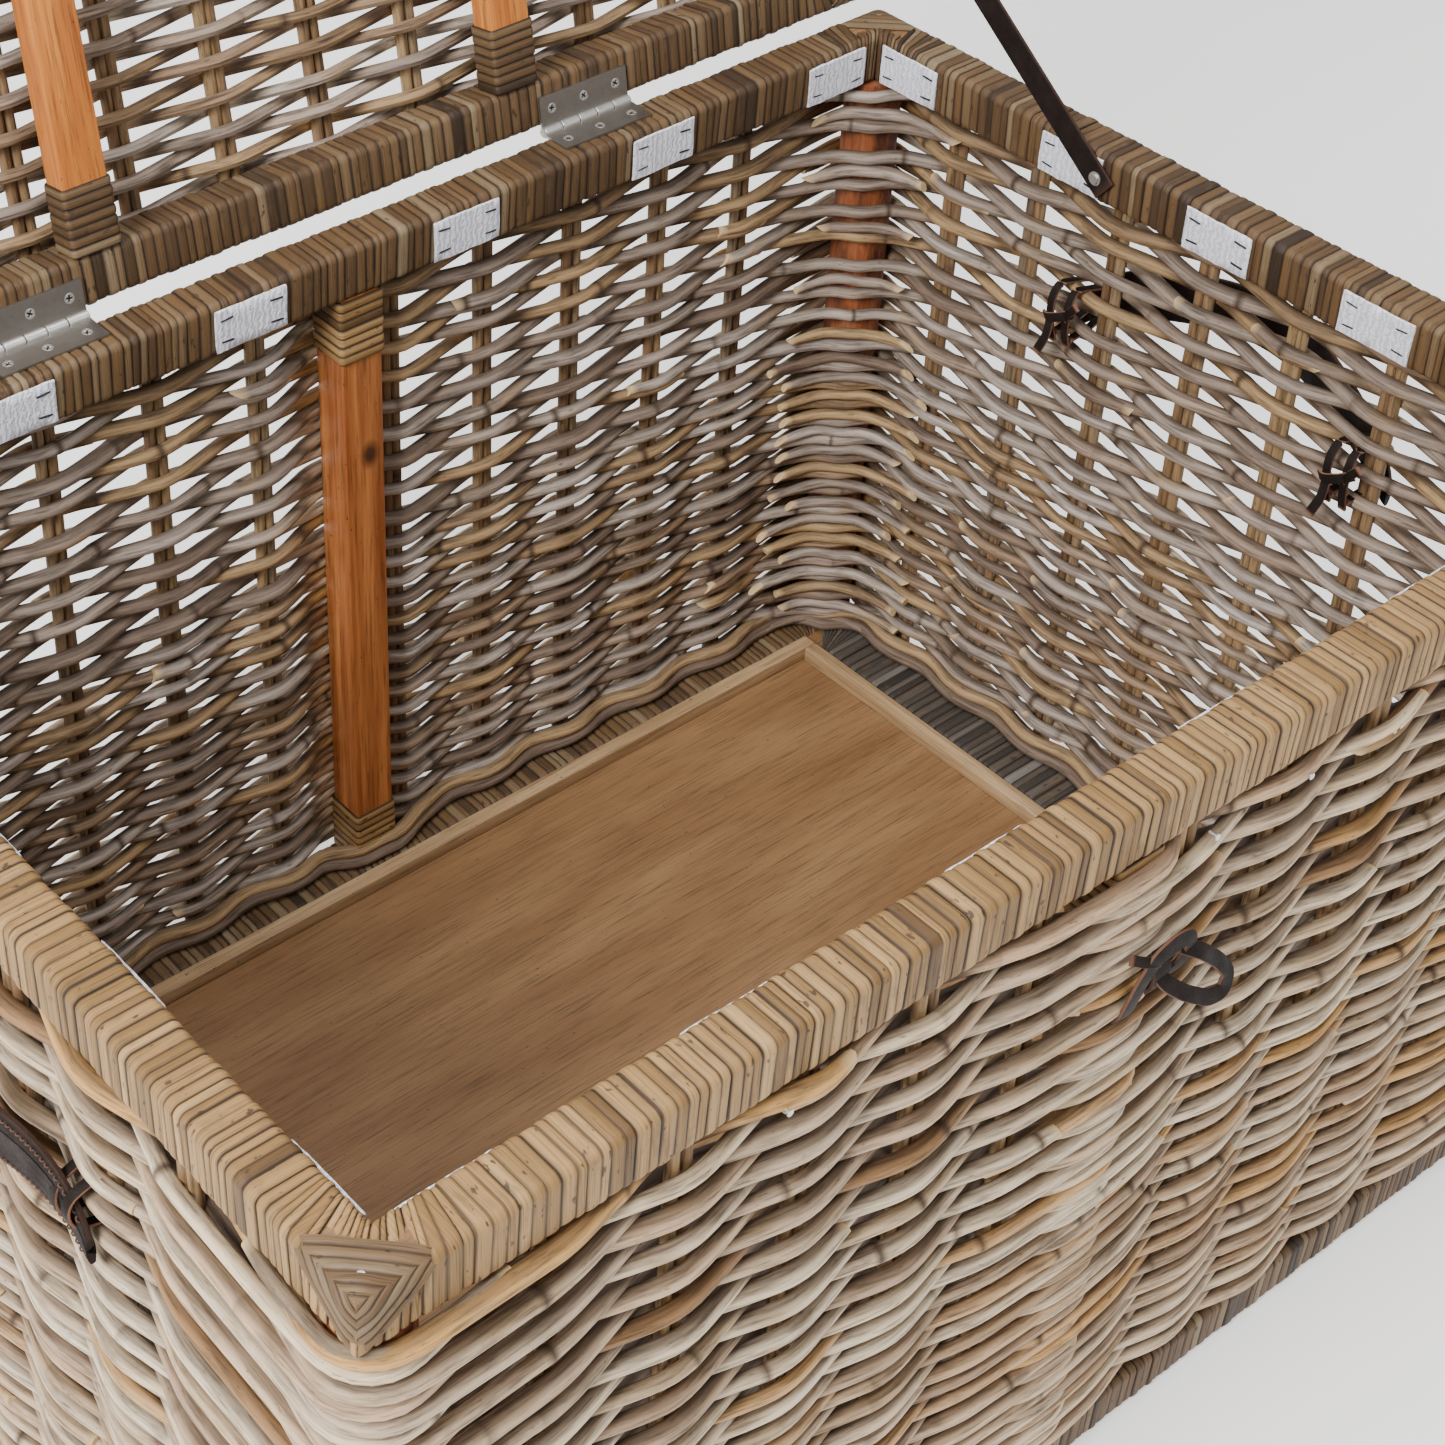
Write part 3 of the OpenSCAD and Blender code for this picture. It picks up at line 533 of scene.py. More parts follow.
def materials():
    """Makes every finish once, from the colours."""
    if MATERIALS:
        return MATERIALS
    group = bpy.context.scene.trunk_colours
    c = {name: tuple(getattr(group, name)) for name in group.__annotations__}
    rod_in = stops((0.0, 0.15, 0.3, 0.45, 0.6, 0.75, 0.86, 1.0),
                   "#8E7D70 #B5A698 #7A6656 #AE9C8E #94795F #B29268 #6A523E #C2B4A8")
    rod_out = stops((0.0, 0.15, 0.3, 0.45, 0.58, 0.7, 0.82, 0.92, 1.0),
                    "#D4BB9C #EAD6B8 #A4866A #E0C8A8 #C8A684 #D2A05C #8C6846 #DEC49E #EEDCC0")
    stake = stops((0.0, 0.4, 0.8, 1.0), "#74573A #8F7150 #A58760 #7E6C58")
    gold = stops((0.0, 0.3, 0.6, 1.0), "#634828 #8E6C3E #A98453 #BC9866")
    brown = stops((0.0, 0.3, 0.6, 1.0), "#36281A #563F27 #6E5334 #8C795C")
    ash = stops((0.0, 0.4, 0.7, 1.0), "#272523 #423D38 #584F45 #7A756F")
    # One dark knot in the back upright: its centre and half sizes in metres
    upright_knot = ((0.004, 0.319, 0.404), (0.009, 0.03, 0.013))
    upright, lengthwise = (0, 0, 1), (1, 0, 0)
    MATERIALS.update({
        "rod": cane_rod("Weathered cane rods", rod_in, rod_out),
        "stake": cane_rod("Tan cane stakes", stake, stake, 0.0),
        "strip_gold": cane_strip("Golden split cane", gold),
        "strip_brown": cane_strip("Brown split cane", brown),
        "strip_ash": cane_strip("Greyed split cane", ash),
        "pole": pole_bark("Barked pole"),
        "timber": sawn_wood("Planed red timber", c["timber"], c["timber_dark"], upright, 520, 0.5,
                            knots=(upright_knot,)),
        "timber_grey": sawn_wood("Weathered upright", linear("#8A6A48"), linear("#5E452D"), upright,
                                 520, 0.5),
        "strut": sawn_wood("Planed strut timber", linear("#DE8A38"), linear("#B05E20"), lengthwise, 520, 0.5,
                           marked=True),
        "plywood": sawn_wood("Tropical plywood", c["plywood"], c["plywood_dark"], lengthwise, 820, 0.4,
                             broad=30.0),
        "batten": sawn_wood("Pale batten", c["batten"], linear("#9C7C56"), lengthwise, 700, 0.5, marked=True),
        "steel": rolled_steel("Plated steel leaf", c["steel"], 0.2),
        # The knuckles get the lighter screw steel rather than the leaves' steel, as a painted highlight.
        "bright": rolled_steel("Drawn steel knuckle", c["screw"], 0.1),
        "screw": rolled_steel("Bright steel screw", c["screw"], 0.5),
        "staple": rolled_steel("Staple wire", c["staple"], 0.3),
        "tape": tape_cloth("Hook tape", c["tape"]),
        "leather": hide_leather("Dyed leather", c["leather"], c["raw_edge"]),
        "thong": hide_leather("Leather thong", c["thong"], c["raw_edge"]),
    })
    return MATERIALS


def dress(nodes, finish):
    """Gives carried-over frame nodes a finish."""
    for node in nodes:
        data = frame["nodes"][node].data
        data.materials.clear()
        data.materials.append(materials()[finish])


# ---------------------------------------------------------------- weave

# The wall's middle line, its corner bend, and where its weave starts and ends, in millimetres
WALL_X, WALL_Y, BEND = 487.0, 342.0, 54.6
WEAVE_LOW, WEAVE_TOP = 36.0, 531.0
STAKE_X = np.sort(np.concatenate([40 + 79.5 * np.arange(5), -68 - 79.5 * np.arange(5)]))
STAKE_Y = 20 + 77.0 * np.arange(-3, 4)
UPRIGHT_HALF = 15.0
POST_R = 22.0
POST_AT = np.array([471.0, 326.0])
ROD_STEP = 7.0          # distance between a wall rod's rings


def ring_point(s):
    """Point and outward side of the wall's middle line at distance s along it: a rectangle with round
    corners, run counterclockwise from the middle of the front."""
    lx, ly, arc = WALL_X - BEND, WALL_Y - BEND, BEND * np.pi / 2
    turn = np.array([0, lx, arc, 2 * ly, arc, 2 * lx, arc, 2 * ly, arc, lx])
    edge = np.cumsum(turn)
    s = np.mod(s, edge[-1])
    k = np.clip(np.searchsorted(edge, s, side="right") - 1, 0, 8)
    d = s - edge[k]
    angle = np.array([0, 0, 1, 1, 2, 2, 3, 3, 4])[k] * np.pi / 2
    round_part = k % 2 == 1
    angle = angle + np.where(round_part, d / BEND, 0)
    starts = np.array([[0, -WALL_Y], [lx, -ly], [WALL_X, -ly], [lx, ly], [lx, WALL_Y], [-lx, ly], [-WALL_X, ly],
                       [-lx, -ly], [-lx, -WALL_Y]], float)[k]
    side = np.stack([np.sin(angle), -np.cos(angle)], -1)
    way = np.stack([np.cos(angle), np.sin(angle)], -1)
    point = np.where(round_part[..., None], starts + side * BEND, starts + way * d[..., None])
    return point, side, edge[-1]


def ring_warps():
    """Distances along the middle line where rods pass a stake pair, post or upright, with its kind:
    0 stake, 1 back post, 2 edge of an upright, 3 front post, which every rod passes on the outside."""
    lx, ly, arc = WALL_X - BEND, WALL_Y - BEND, BEND * np.pi / 2
    front, right = 0.0, lx + arc + ly
    back, left = right + ly + arc + lx, right + 2 * (ly + arc + lx)
    whole = 4 * (lx + ly + arc)
    found = [(np.mod(front + x, whole), 0) for x in STAKE_X]
    found += [(right + y, 0) for y in STAKE_Y] + [(back - x, 0) for x in STAKE_X]
    found += [(left - y, 0) for y in STAKE_Y]
    found += [(s + k, 2) for s in (back,) for k in (-UPRIGHT_HALF, UPRIGHT_HALF)]
    found += [(np.mod(k, whole), 2) for k in (-UPRIGHT_HALF, UPRIGHT_HALF)]
    found += [(right + ly + arc / 2, 1), (left - ly - arc / 2, 1)]
    found += [(right - ly - arc / 2, 3), (left + ly + arc / 2, 3)]
    return sorted(found), whole


def bend_curve(t, tight=0.93):
    """Rod crossing from one side (1) to the other (-1) between two stakes: asin(k cos pi t) over asin(k),
    nearly straight between with a short bend at each stake."""
    return np.arcsin(tight * np.cos(np.pi * t)) / np.arcsin(tight)


def woven(s, table, level):
    """Offset of a rod at each place s: it bends from the level at each place of the table to the next."""
    k = np.clip(np.searchsorted(table, s, side="right") - 1, 0, len(table) - 2)
    share = (1 - bend_curve((s - table[k]) / (table[k + 1] - table[k]))) / 2
    return level[k] + (level[k + 1] - level[k]) * share


def row_offsets(places, kinds, parity, radius, stake):
    """Sideways offset of a row at each place: stakes push it half a rod and half a stake to its side,
    posts their own radius, uprights always outwards."""
    real = kinds < 2
    side = np.ones(len(places))
    side[real] = np.where((np.arange(real.sum()) + parity) % 2 == 0, 1.0, -1.0)
    size = np.where(kinds == 1, np.where(side > 0, POST_R, POST_R - 0.4) + radius, stake / 2 + radius - 0.3)
    size = np.where(kinds == 3, POST_R + radius, size)
    return np.where(kinds == 2, 5.6 + radius, side * size)


def round_posts(xy, s, places, kinds, offset, radius, whole):
    """Rods that pass a post on the outside run straight from the stake before it, close round the post
    on a circle of post and rod radius, and straight to the stake after it. Points are set along that
    line in proportion to their distance."""
    for n in np.flatnonzero((kinds == 1) | (kinds == 3)):
        if offset[n] < 0:
            continue
        after_n = (n + 1) % len(places)
        before, after = places[n - 1], places[after_n]
        before -= whole * (before > places[n])
        after += whole * (after < places[n])
        ends, sides, _ = ring_point(np.array([before, after]))
        ends = ends + sides * offset[[n - 1, after_n]][:, None]
        centre = POST_AT * np.sign(ring_point(places[n])[0])
        turn = np.arctan2(sides[0, 1], sides[0, 0]) + np.linspace(0, np.pi / 2, 9)
        bend = (POST_R + radius + 0.6) * np.stack([np.cos(turn), np.sin(turn)], -1)
        line = np.concatenate([ends[:1], centre + bend, ends[1:]])
        for lap in (-whole, 0, whole):
            here = (s > before + lap) & (s < after + lap)
            xy[here] = points_at(line, (s[here] - before - lap) / (after - before) * distances(line)[-1])
    for _ in range(2):
        xy[1:-1] = (xy[:-2] + 2 * xy[1:-1] + xy[2:]) / 4
    return xy


def wall_rods(bundle, z, parity, radius, rng, places, kinds, whole, stake, joins, roam):
    """One row of the wall: rods that end past a stake and start before the last one's end. A rod weaves
    by the offsets, wanders in height with the row, and rises past the end of the rod before it."""
    offset = row_offsets(places, kinds, parity, radius, stake)
    cuts = np.sort(rng.choice(np.flatnonzero(kinds == 0), joins, replace=False))
    wave = smooth_noise(rng, 400, 130.0, whole + 1)
    wave[-40:] = wave[-40:] * np.linspace(1, 0, 40) + wave[0] * np.linspace(0, 1, 40)
    table = np.concatenate([places - whole, places, places + whole])
    for n in range(joins):
        a, b = places[cuts[n]], places[cuts[(n + 1) % joins]]
        b += whole * (b <= a)
        over = rng.uniform(16, 40, 2)
        s = np.arange(a - over[0], b + over[1], ROD_STEP)
        span = s[-1] - s[0]
        out = woven(s, table, np.tile(offset, 3))
        start, end = ease(1 - (s - s[0]) / 60), ease(1 - (s[-1] - s) / 60)
        out = out + (start * 0.9 + end * 2.6) * np.sign(out)
        lift = np.interp(np.mod(s, whole), np.linspace(0, whole, 400), wave) * roam
        lift = lift + smooth_noise(rng, len(s), 55.0, span + 1) * roam * 0.5
        lift = lift + rng.uniform(-0.7, 0.7) - 2.4 * start + 2.4 * end
        point, side, _ = ring_point(s)
        xy = round_posts(point + side * out[:, None], s, places, kinds, offset, radius, whole)
        size = radius * rng.uniform(0.82, 1.12) * (1 + 0.07 * smooth_noise(rng, len(s), 90.0, span + 1))
        size = size * (1 - 0.22 * start ** 3 - 0.22 * end ** 3)
        knot = np.zeros(len(s))
        ring = rng.uniform(30, 200)
        while ring < span:
            near = np.exp(-((s - s[0] - ring) / 4.5) ** 2)
            size, knot = size * (1 + 0.1 * near), np.maximum(knot, near)
            ring += rng.uniform(120, 290)
        tone = rng.uniform()
        lay_rod(bundle, raised(xy, z + lift), size, raised(side, 0), slant=rng.uniform(-1.6, 1.6, 2),
                start=rng.uniform(0, 900), tone=tone, knot=knot[:, None],
                side=lambda rings: ease(((rings[..., :2] - point[:, None]) * side[:, None]).sum(-1) / 12 + 0.5))


def packing_rods(bundle, z, radius, rng, places, kinds):
    """Short rods packed across the inner side of each back post, level with rows that pass outside it:
    an arc one post and rod radius in from the post, easing back to the wall, with cut ends."""
    for at in places[kinds == 1]:
        reach = rng.uniform(52, 92, 2)
        s = np.arange(-reach[0], reach[1], ROD_STEP)
        point, side, _ = ring_point(at + s)
        out = -(POST_R + radius) + (POST_R - 9) * ease(np.abs(s) / 75)
        lift = smooth_noise(rng, len(s), 40, reach.sum()) * 1.6 - 2.0 * ease(np.abs(s) / 80)
        size = radius * rng.uniform(0.8, 1.0) * (1 - 0.3 * ease((np.abs(s) - reach.min() + 25) / 25))
        lay_rod(bundle, raised(point + side * out[:, None], z + lift), size, raised(side, 0),
                slant=rng.uniform(-2, 2, 2), start=rng.uniform(0, 900), tone=rng.uniform())


def corner_rod(bundle, rng, corner, z, radius, tails, tone, side=0.8):
    """A short rod close round the outer side of a post: an arc of post and rod radius with nearly
    straight tails along both walls, drawn in by 0.0011 of their length squared, and thinned ends."""
    turn = np.linspace(0, np.pi / 2, 12)
    arc = POST_AT + (POST_R + radius + 0.4) * np.stack([np.sin(turn), np.cos(turn)], -1)
    first, last = (np.linspace(t, 8, max(int(t / 8), 3))[:, None] for t in tails)
    path = np.concatenate([arc[:1] - first * [1, 0] - first ** 2 * [0, 0.0011], arc,
                           arc[-1:] - last[::-1] * [0, 1] - last[::-1] ** 2 * [0.0011, 0]])
    path = raised(path * corner, z)
    path[:, 2] += smooth_noise(rng, len(path), 40, 160) * 1.2
    from_end = np.arange(len(path))
    from_end = np.minimum(from_end, from_end[::-1])
    lay_rod(bundle, path, radius * np.clip(from_end / 6 + 0.72, 0, 1), (0, 0, 1), start=rng.uniform(0, 900),
            tone=tone, side=side)


def head_rods(bundle, rng):
    """A thin rod close round the outer side of each post, just under the rim."""
    for corner in ((-1, -1), (1, -1), (1, 1), (-1, 1)):
        # Side 0.7 gives these rods about half the painted shade of the rod finish, dark as the shaded gap under
        # the rim.
        corner_rod(bundle, rng, corner, 528.0, 4.0, (60, 60), rng.uniform(0.6, 0.9), 0.7)


def foot_rods(bundle, rng, places, kinds, whole):
    """Thick rods laid along the base bars inside the walls: a closed line that swings in at each stake and
    back between, sagging towards the bar, and stands clear of posts and uprights."""
    def nearest(s, spots):
        """Distance round the wall from each place to the nearest spot."""
        return np.abs(np.mod(s[:, None] - spots + whole / 2, whole) - whole / 2).min(1)

    for z, inner, swing, radius in ((40.5, -15.0, 3.5, 5.6), (48.5, -12.5, 4.5, 5.0)):
        s = np.arange(0, whole - 5, ROD_STEP)
        near = np.clip(np.abs(s[:, None] - places[kinds == 0]).min(1) / 40, 0, 1)
        point, side, _ = ring_point(s)
        out = inner - swing * np.cos(near * np.pi)
        out = out - 18 * ease(1 - nearest(s, places[(kinds == 1) | (kinds == 3)]) / 60)
        out = out - 16 * ease(1 - (nearest(s, np.array([0, whole / 2])) - 10) / 40)
        lift = smooth_noise(rng, len(s), 90, whole) * 1.2 - 1.2 * near
        lay_rod(bundle, raised(point + side * out[:, None], z + lift),
                radius * (1 + 0.06 * smooth_noise(rng, len(s), 90, whole)), raised(side, 0), tone=rng.uniform())


class TRUNK_OT_wall_weave(bpy.types.Operator):
    """Weaves the rods round the four walls"""
    bl_idname = "trunk.wall_weave"
    bl_label = "Wall weave"

    def execute(self, context):
        z = context.scene.trunk_sizes
        rng = np.random.default_rng(z.seed)
        found, whole = ring_warps()
        places, kinds = np.array([f[0] for f in found]), np.array([f[1] for f in found])
        low_pitch, high_pitch = z.pitch_lower / MM, z.pitch_upper / MM
        low_r, high_r = z.rod_lower / MM / 2, z.rod_upper / MM / 2
        low_count = int((z.close_top / MM - WEAVE_LOW) / low_pitch)
        heights = list(WEAVE_LOW + low_r + 0.5 + low_pitch * np.arange(low_count))
        high_count = int(round((WEAVE_TOP - high_r - heights[-1]) / high_pitch))
        heights += list(np.linspace(heights[-1], WEAVE_TOP - high_r - 1, high_count + 1)[1:])
        nodes = (("weave_front",), ("weave_back",), ("weave_left", "weave_right"), ("weave_corners",))
        for n, band in enumerate(np.array_split(np.arange(len(heights)), len(nodes))):
            bundle = Bundle()
            for row in band:
                low, height = row < low_count, heights[row]
                radius = low_r if low else high_r
                wall_rods(bundle, height, row % 2, radius, rng, places, kinds, whole, z.stake / MM,
                          int(rng.integers(2, 5)), 1.3 if low else 2.6)
                offset = row_offsets(places, kinds, row % 2, radius, z.stake / MM)
                if low or row % 4 == 0:
                    packed = np.where((kinds == 1) & (offset < 0), 0, kinds)
                    packing_rods(bundle, height, radius, rng, places, packed)
                for corner, passes in zip(((1, 1), (-1, 1)), offset[kinds == 1]):
                    if passes < 0:
                        corner_rod(bundle, rng, corner, height, radius * rng.uniform(0.85, 1.0),
                                   rng.uniform(40, 75, 2), rng.uniform())
            if n == 0:
                foot_rods(bundle, rng, places, kinds, whole)
            if n == len(nodes) - 1:
                head_rods(bundle, rng)
            bundle.build(f"weave_rods_{n + 1}", materials()["rod"], "trunk", nodes[n])
        return {"FINISHED"}


def stake_rods(bundle, ends, across, size, rng):
    """Stakes as pairs of nearly straight rods with a slow wander and nodes. Ends are (low, high) points,
    across the direction in which the two lie side by side."""
    low, high = ends
    span = np.linalg.norm(high - low)
    count = max(int(span / 14), 8)
    t = np.linspace(0, 1, count)
    for sign in (-1, 1):
        path = low + (high - low) * t[:, None] + across * sign * size * 0.49
        path += across * smooth_noise(rng, count, 120, span)[:, None] * 0.5
        radius = size / 2 * rng.uniform(0.93, 1.03) * (1 + 0.03 * smooth_noise(rng, count, 60, span))
        knot = np.zeros(count)
        for spot in rng.uniform(0, span, 2):
            near = np.exp(-((t * span - spot) / 5) ** 2)
            radius, knot = radius * (1 + 0.08 * near), np.maximum(knot, near)
        lay_rod(bundle, path, radius, across, start=rng.uniform(0, 900), tone=rng.uniform(), knot=knot[:, None],
                cut_ends=False)


class TRUNK_OT_stakes(bpy.types.Operator):
    """Stands the stake pairs in the walls"""
    bl_idname = "trunk.stakes"
    bl_label = "Wall stakes"

    def execute(self, context):
        size = context.scene.trunk_sizes.stake / MM
        rng = np.random.default_rng(context.scene.trunk_sizes.seed + 1)
        for name, axis, spots, wall in (("long", 0, STAKE_X, WALL_Y), ("end", 1, STAKE_Y, WALL_X)):
            node = name + "_wall_stakes"
            low, high = box_mm(node)
            bundle = Bundle()
            for at in spots:
                for sign in (-1, 1):
                    spot = (at, sign * wall) if axis == 0 else (sign * wall, at)
                    stake_rods(bundle, (np.array([*spot, low[2]]), np.array([*spot, high[2]])),
                               np.eye(3)[axis], size, rng)
            bundle.build(name + "_stakes", materials()["stake"], "trunk", (node,))
        return {"FINISHED"}


class TRUNK_OT_posts(bpy.types.Operator):
    """Stands the barked corner posts"""
    bl_idname = "trunk.posts"
    bl_label = "Corner posts"

    def execute(self, context):
        rng = np.random.default_rng(context.scene.trunk_sizes.seed + 2)
        for end in ("front_left", "front_right", "back_left", "back_right"):
            low, high = box_mm("corner_post_" + end)
            centre, radius = (low + high) / 2, (high[0] - low[0]) / 2
            z = np.linspace(low[2], high[2], 70)[:, None]
            a = np.arange(28) / 28 * 2 * np.pi
            ridge = sum(rng.uniform(0.1, 0.35)
                        * np.cos(k * a + rng.uniform(0, 6) + z * rng.uniform(-0.01, 0.01))
                        for k in (2, 3, 5, 7))
            swell = smooth_noise(rng, len(z), 90, high[2] - low[2])[:, None] * 0.4
            r = radius - 0.9 + ridge + swell
            rings = np.stack([centre[0] + r * np.cos(a), centre[1] + r * np.sin(a),
                              np.broadcast_to(z, r.shape)], -1)
            bundle = Bundle()
            bundle.sweep(rings)
            bundle.build("post_" + end, materials()["pole"], "trunk", ("corner_post_" + end,))
        return {"FINISHED"}


# ---------------------------------------------------------------- wound bars

CAP_WIDE = 1.36         # a corner binding's reach along a bar, over its reach down it
CAP_SINK = 0.26         # share by which a bar shrinks under a binding
CAP_DRAW = 18.0         # how far the bar's end is drawn back there, in mm
# Where a strip's six rings lie across it, and how deep each lies in the groove beside it
STRIP_SHARE = np.array([0.02, 0.13, 0.35, 0.65, 0.87, 0.98])
STRIP_DIP = np.array([1.0, 0.35, 0.0, 0.0, 0.35, 1.0])


def cap_reach(height):
    """How far down a bar a corner binding goes: 37 mm, or the bar's height less half a millimetre."""
    return min(37.0, height - 0.5)


def outward_sides(section, width, height, radius):
    """Outward side at each point of a rounded rectangle: away from the nearest point of the rectangle
    that lies a corner radius inside it."""
    hold = np.minimum(np.abs(section), np.array([width / 2 - radius, height / 2 - radius]))
    return unit(section - np.sign(section) * hold)


def wound_bar(bundle, low, high, axis, strip, rng, outer=1, fan=70.0, drop=0.9, radius=5.5, caps=(1,)):
    """A bar wound with strips. Its rings are a rounded rectangle carried along the bar; each strip has
    a dip of drop at its two edges and its own tone, lean and height. Within fan of the ends, inner
    points are drawn back so that the bar ends on the mitre and the strips spread round the corner."""
    other = 1 - axis
    centre = (low + high) / 2
    width, height, half = high[other] - low[other], high[2] - low[2], (high[axis] - low[axis]) / 2
    count = max(int(round(2 * half / strip)), 2)
    step = rng.uniform(0.62, 1.32, count)
    edge = np.concatenate([[0], np.cumsum(step)]) / step.sum() * 2 * half - half
    s = (edge[:-1, None] + np.diff(edge)[:, None] * STRIP_SHARE).ravel()
    deep = rng.uniform(0.6, 1.0, count + 1)
    groove = np.tile(STRIP_DIP, count) * np.stack([deep[:-1]] * 3 + [deep[1:]] * 3, -1).ravel()
    rise = np.repeat(rng.uniform(-0.5, 0.5, count), 6)
    lean = np.repeat(rng.uniform(-0.5, 1.6, count), 6) + 0.6
    tone = np.clip(np.repeat(rng.normal(0.5, 0.22, count), 6), 0, 1)
    section = flat_section(width, height, radius, 6)
    flat = section + outward_sides(section, width, height, radius) * (rise - groove * drop)[:, None, None]
    u, v = flat[..., 0], flat[..., 1]
    inset = width / 2 - u * outer
    along = s[:, None] + lean[:, None] * (section[:, 1] / height)[None]
    reach = half - fan
    far = np.clip(np.abs(along) - reach, 0, None)
    target = half - np.clip(inset, 0, width)
    pulled = reach + far * (target - reach) / fan
    along = np.where(np.abs(along) > reach, np.sign(along) * np.minimum(pulled, target), along)
    along = np.clip(along, -half, half)
    for up in caps:
        level = (half - np.abs(along) + inset) / CAP_WIDE + height / 2 - v * up
        sink = ease((cap_reach(height) - 2.5 - level) / 5) * CAP_SINK
        u, v = u * (1 - sink), v * (1 - sink)
        along = along - np.sign(along) * sink * CAP_DRAW
    rings = np.zeros((*along.shape, 3))
    rings[..., axis] = centre[axis] + along
    rings[..., other] = centre[other] + u
    rings[..., 2] = centre[2] + v
    shift = np.repeat(rng.uniform(0, 9, count), 6)[:, None]
    grain = np.stack([along, u + shift * 31, v + shift * 17], -1) * MM
    bundle.sweep(rings, grain=grain, tone=tone[:, None], groove=groove[:, None])


def wound_corner(bundle, vertex, towards, rng, reach=38.0, pitch=6.4, round_by=10.0):
    """Triangular binding over a box corner. A point is set by its level, the sum of its distances from
    the three faces, and by its way round the corner; it is laid on the rounded box and raised by a half
    round for each strip, and the binding's edge dips under the bars' strips."""
    level = np.concatenate([[0.5], np.arange(0.08, reach / pitch, 1 / 6.0) * pitch + 2.0])
    level = level[level < reach]
    way = np.linspace(0, 3, 37)[:-1]
    face, part = way.astype(int), way - way.astype(int)
    share = np.zeros((len(way), 3))
    share[np.arange(len(way)), face] = 1 - part
    share[np.arange(len(way)), (face + 1) % 3] = part
    lift = 1.4 - 1.3 * np.abs(2 * np.mod(level / pitch, 1) - 1) ** 3
    lift[0] = 1.0
    level = np.concatenate([level, [level[-1] + 0.8, level[-1] - 3]])
    lift = np.concatenate([lift, [-1.2, -4.0]])
    sharp = level[:, None, None] * share * np.array([CAP_WIDE, CAP_WIDE, 1.0])
    inner = np.maximum(sharp, round_by)
    shape = inner + unit(sharp - inner) * (round_by + lift[:, None, None])
    rings = np.asarray(vertex) + shape * np.asarray(towards)
    strip = np.floor(level / pitch).astype(int)
    tones = np.clip(rng.normal(0.68, 0.09, strip.max() + 1), 0, 1)[strip]
    groove = np.clip(np.abs(2 * np.mod(level / pitch, 1) - 1) * 2.6 - 1.6, 0, 1)
    levels = np.broadcast_to(level[:, None], rings.shape[:2])
    grain = np.stack([levels, sharp[..., 0], sharp[..., 1]], -1) * MM
    bundle.sweep(rings, grain=grain, tone=tones[:, None], groove=groove[:, None])


# Each frame's body, the faces its corner bindings cover (1 the top, -1 the underside) and its bars' finishes
BARS = {
    "rim": ("trunk", (1,), {"front": "strip_gold", "back": "strip_brown", "left": "strip_gold",
                            "right": "strip_brown"}),
    "base": ("trunk", (-1,), {"front": "strip_brown", "back": "strip_brown", "left": "strip_ash",
                              "right": "strip_ash"}),
    "lid": ("lid", (-1, 1), dict.fromkeys(("front", "back", "left", "right"), "strip_brown")),
}
# The lid frame's box when shut, and its bars' width, in millimetres
LID_SHUT = (np.array([-495.0, -350.0, 574.0]), np.array([495.0, 350.0, 608.0]))
LID_BAR = 34.0


def wound_frame(context, name, low, high, widths, seed):
    """Four wound bars round a rectangle, mitred, with a bound corner at each of its corners."""
    strip = context.scene.trunk_sizes.strip / MM
    rng = np.random.default_rng(seed)
    body, caps, finishes = BARS[name]
    for side, finish in finishes.items():
        a, b = low.copy(), high.copy()
        across = 1 if side in ("front", "back") else 0
        far = side in ("back", "right")
        if far:
            a[across] = b[across] - widths[across]
        else:
            b[across] = a[across] + widths[across]
        bundle = Bundle()
        wound_bar(bundle, a, b, 1 - across, strip, rng, 1 if far else -1, caps=caps)
        if name == "lid":
            bundle.shift(turn_lid)
        node = f"{name}_wrap_{side}"
        bundle.build("wound_" + node, materials()[finish], body, (node,))
    bundle = Bundle()
    for sx in (-1, 1):
        for sy in (-1, 1):
            for up in caps:
                vertex = np.where(np.array([sx, sy, up]) > 0, high, low)
                wound_corner(bundle, vertex, (-sx, -sy, -up), rng, cap_reach(high[2] - low[2]))
    if name == "lid":
        bundle.shift(turn_lid)
    bundle.build(f"bound_{name}_corners", materials()["strip_brown"], body, (f"{name}_corner_wraps",))


class TRUNK_OT_frames(bpy.types.Operator):
    """Winds the bars of rim, base and lid and binds their corners"""
    bl_idname = "trunk.frames"
    bl_label = "Wound frames"

    def execute(self, context):
        seed = context.scene.trunk_sizes.seed
        for n, name in enumerate(("rim", "base")):
            boxes = np.array([box_mm(f"{name}_wrap_{side}") for side in ("left", "front", "right", "back")])
            widths = [boxes[k, 1, k] - boxes[k, 0, k] for k in (0, 1)]
            wound_frame(context, name, boxes[:, 0].min(0), boxes[:, 1].max(0), widths, seed + 3 + n)
        wound_frame(context, "lid", *LID_SHUT, (LID_BAR, LID_BAR), seed + 5)
        return {"FINISHED"}


# ---------------------------------------------------------------- timbers

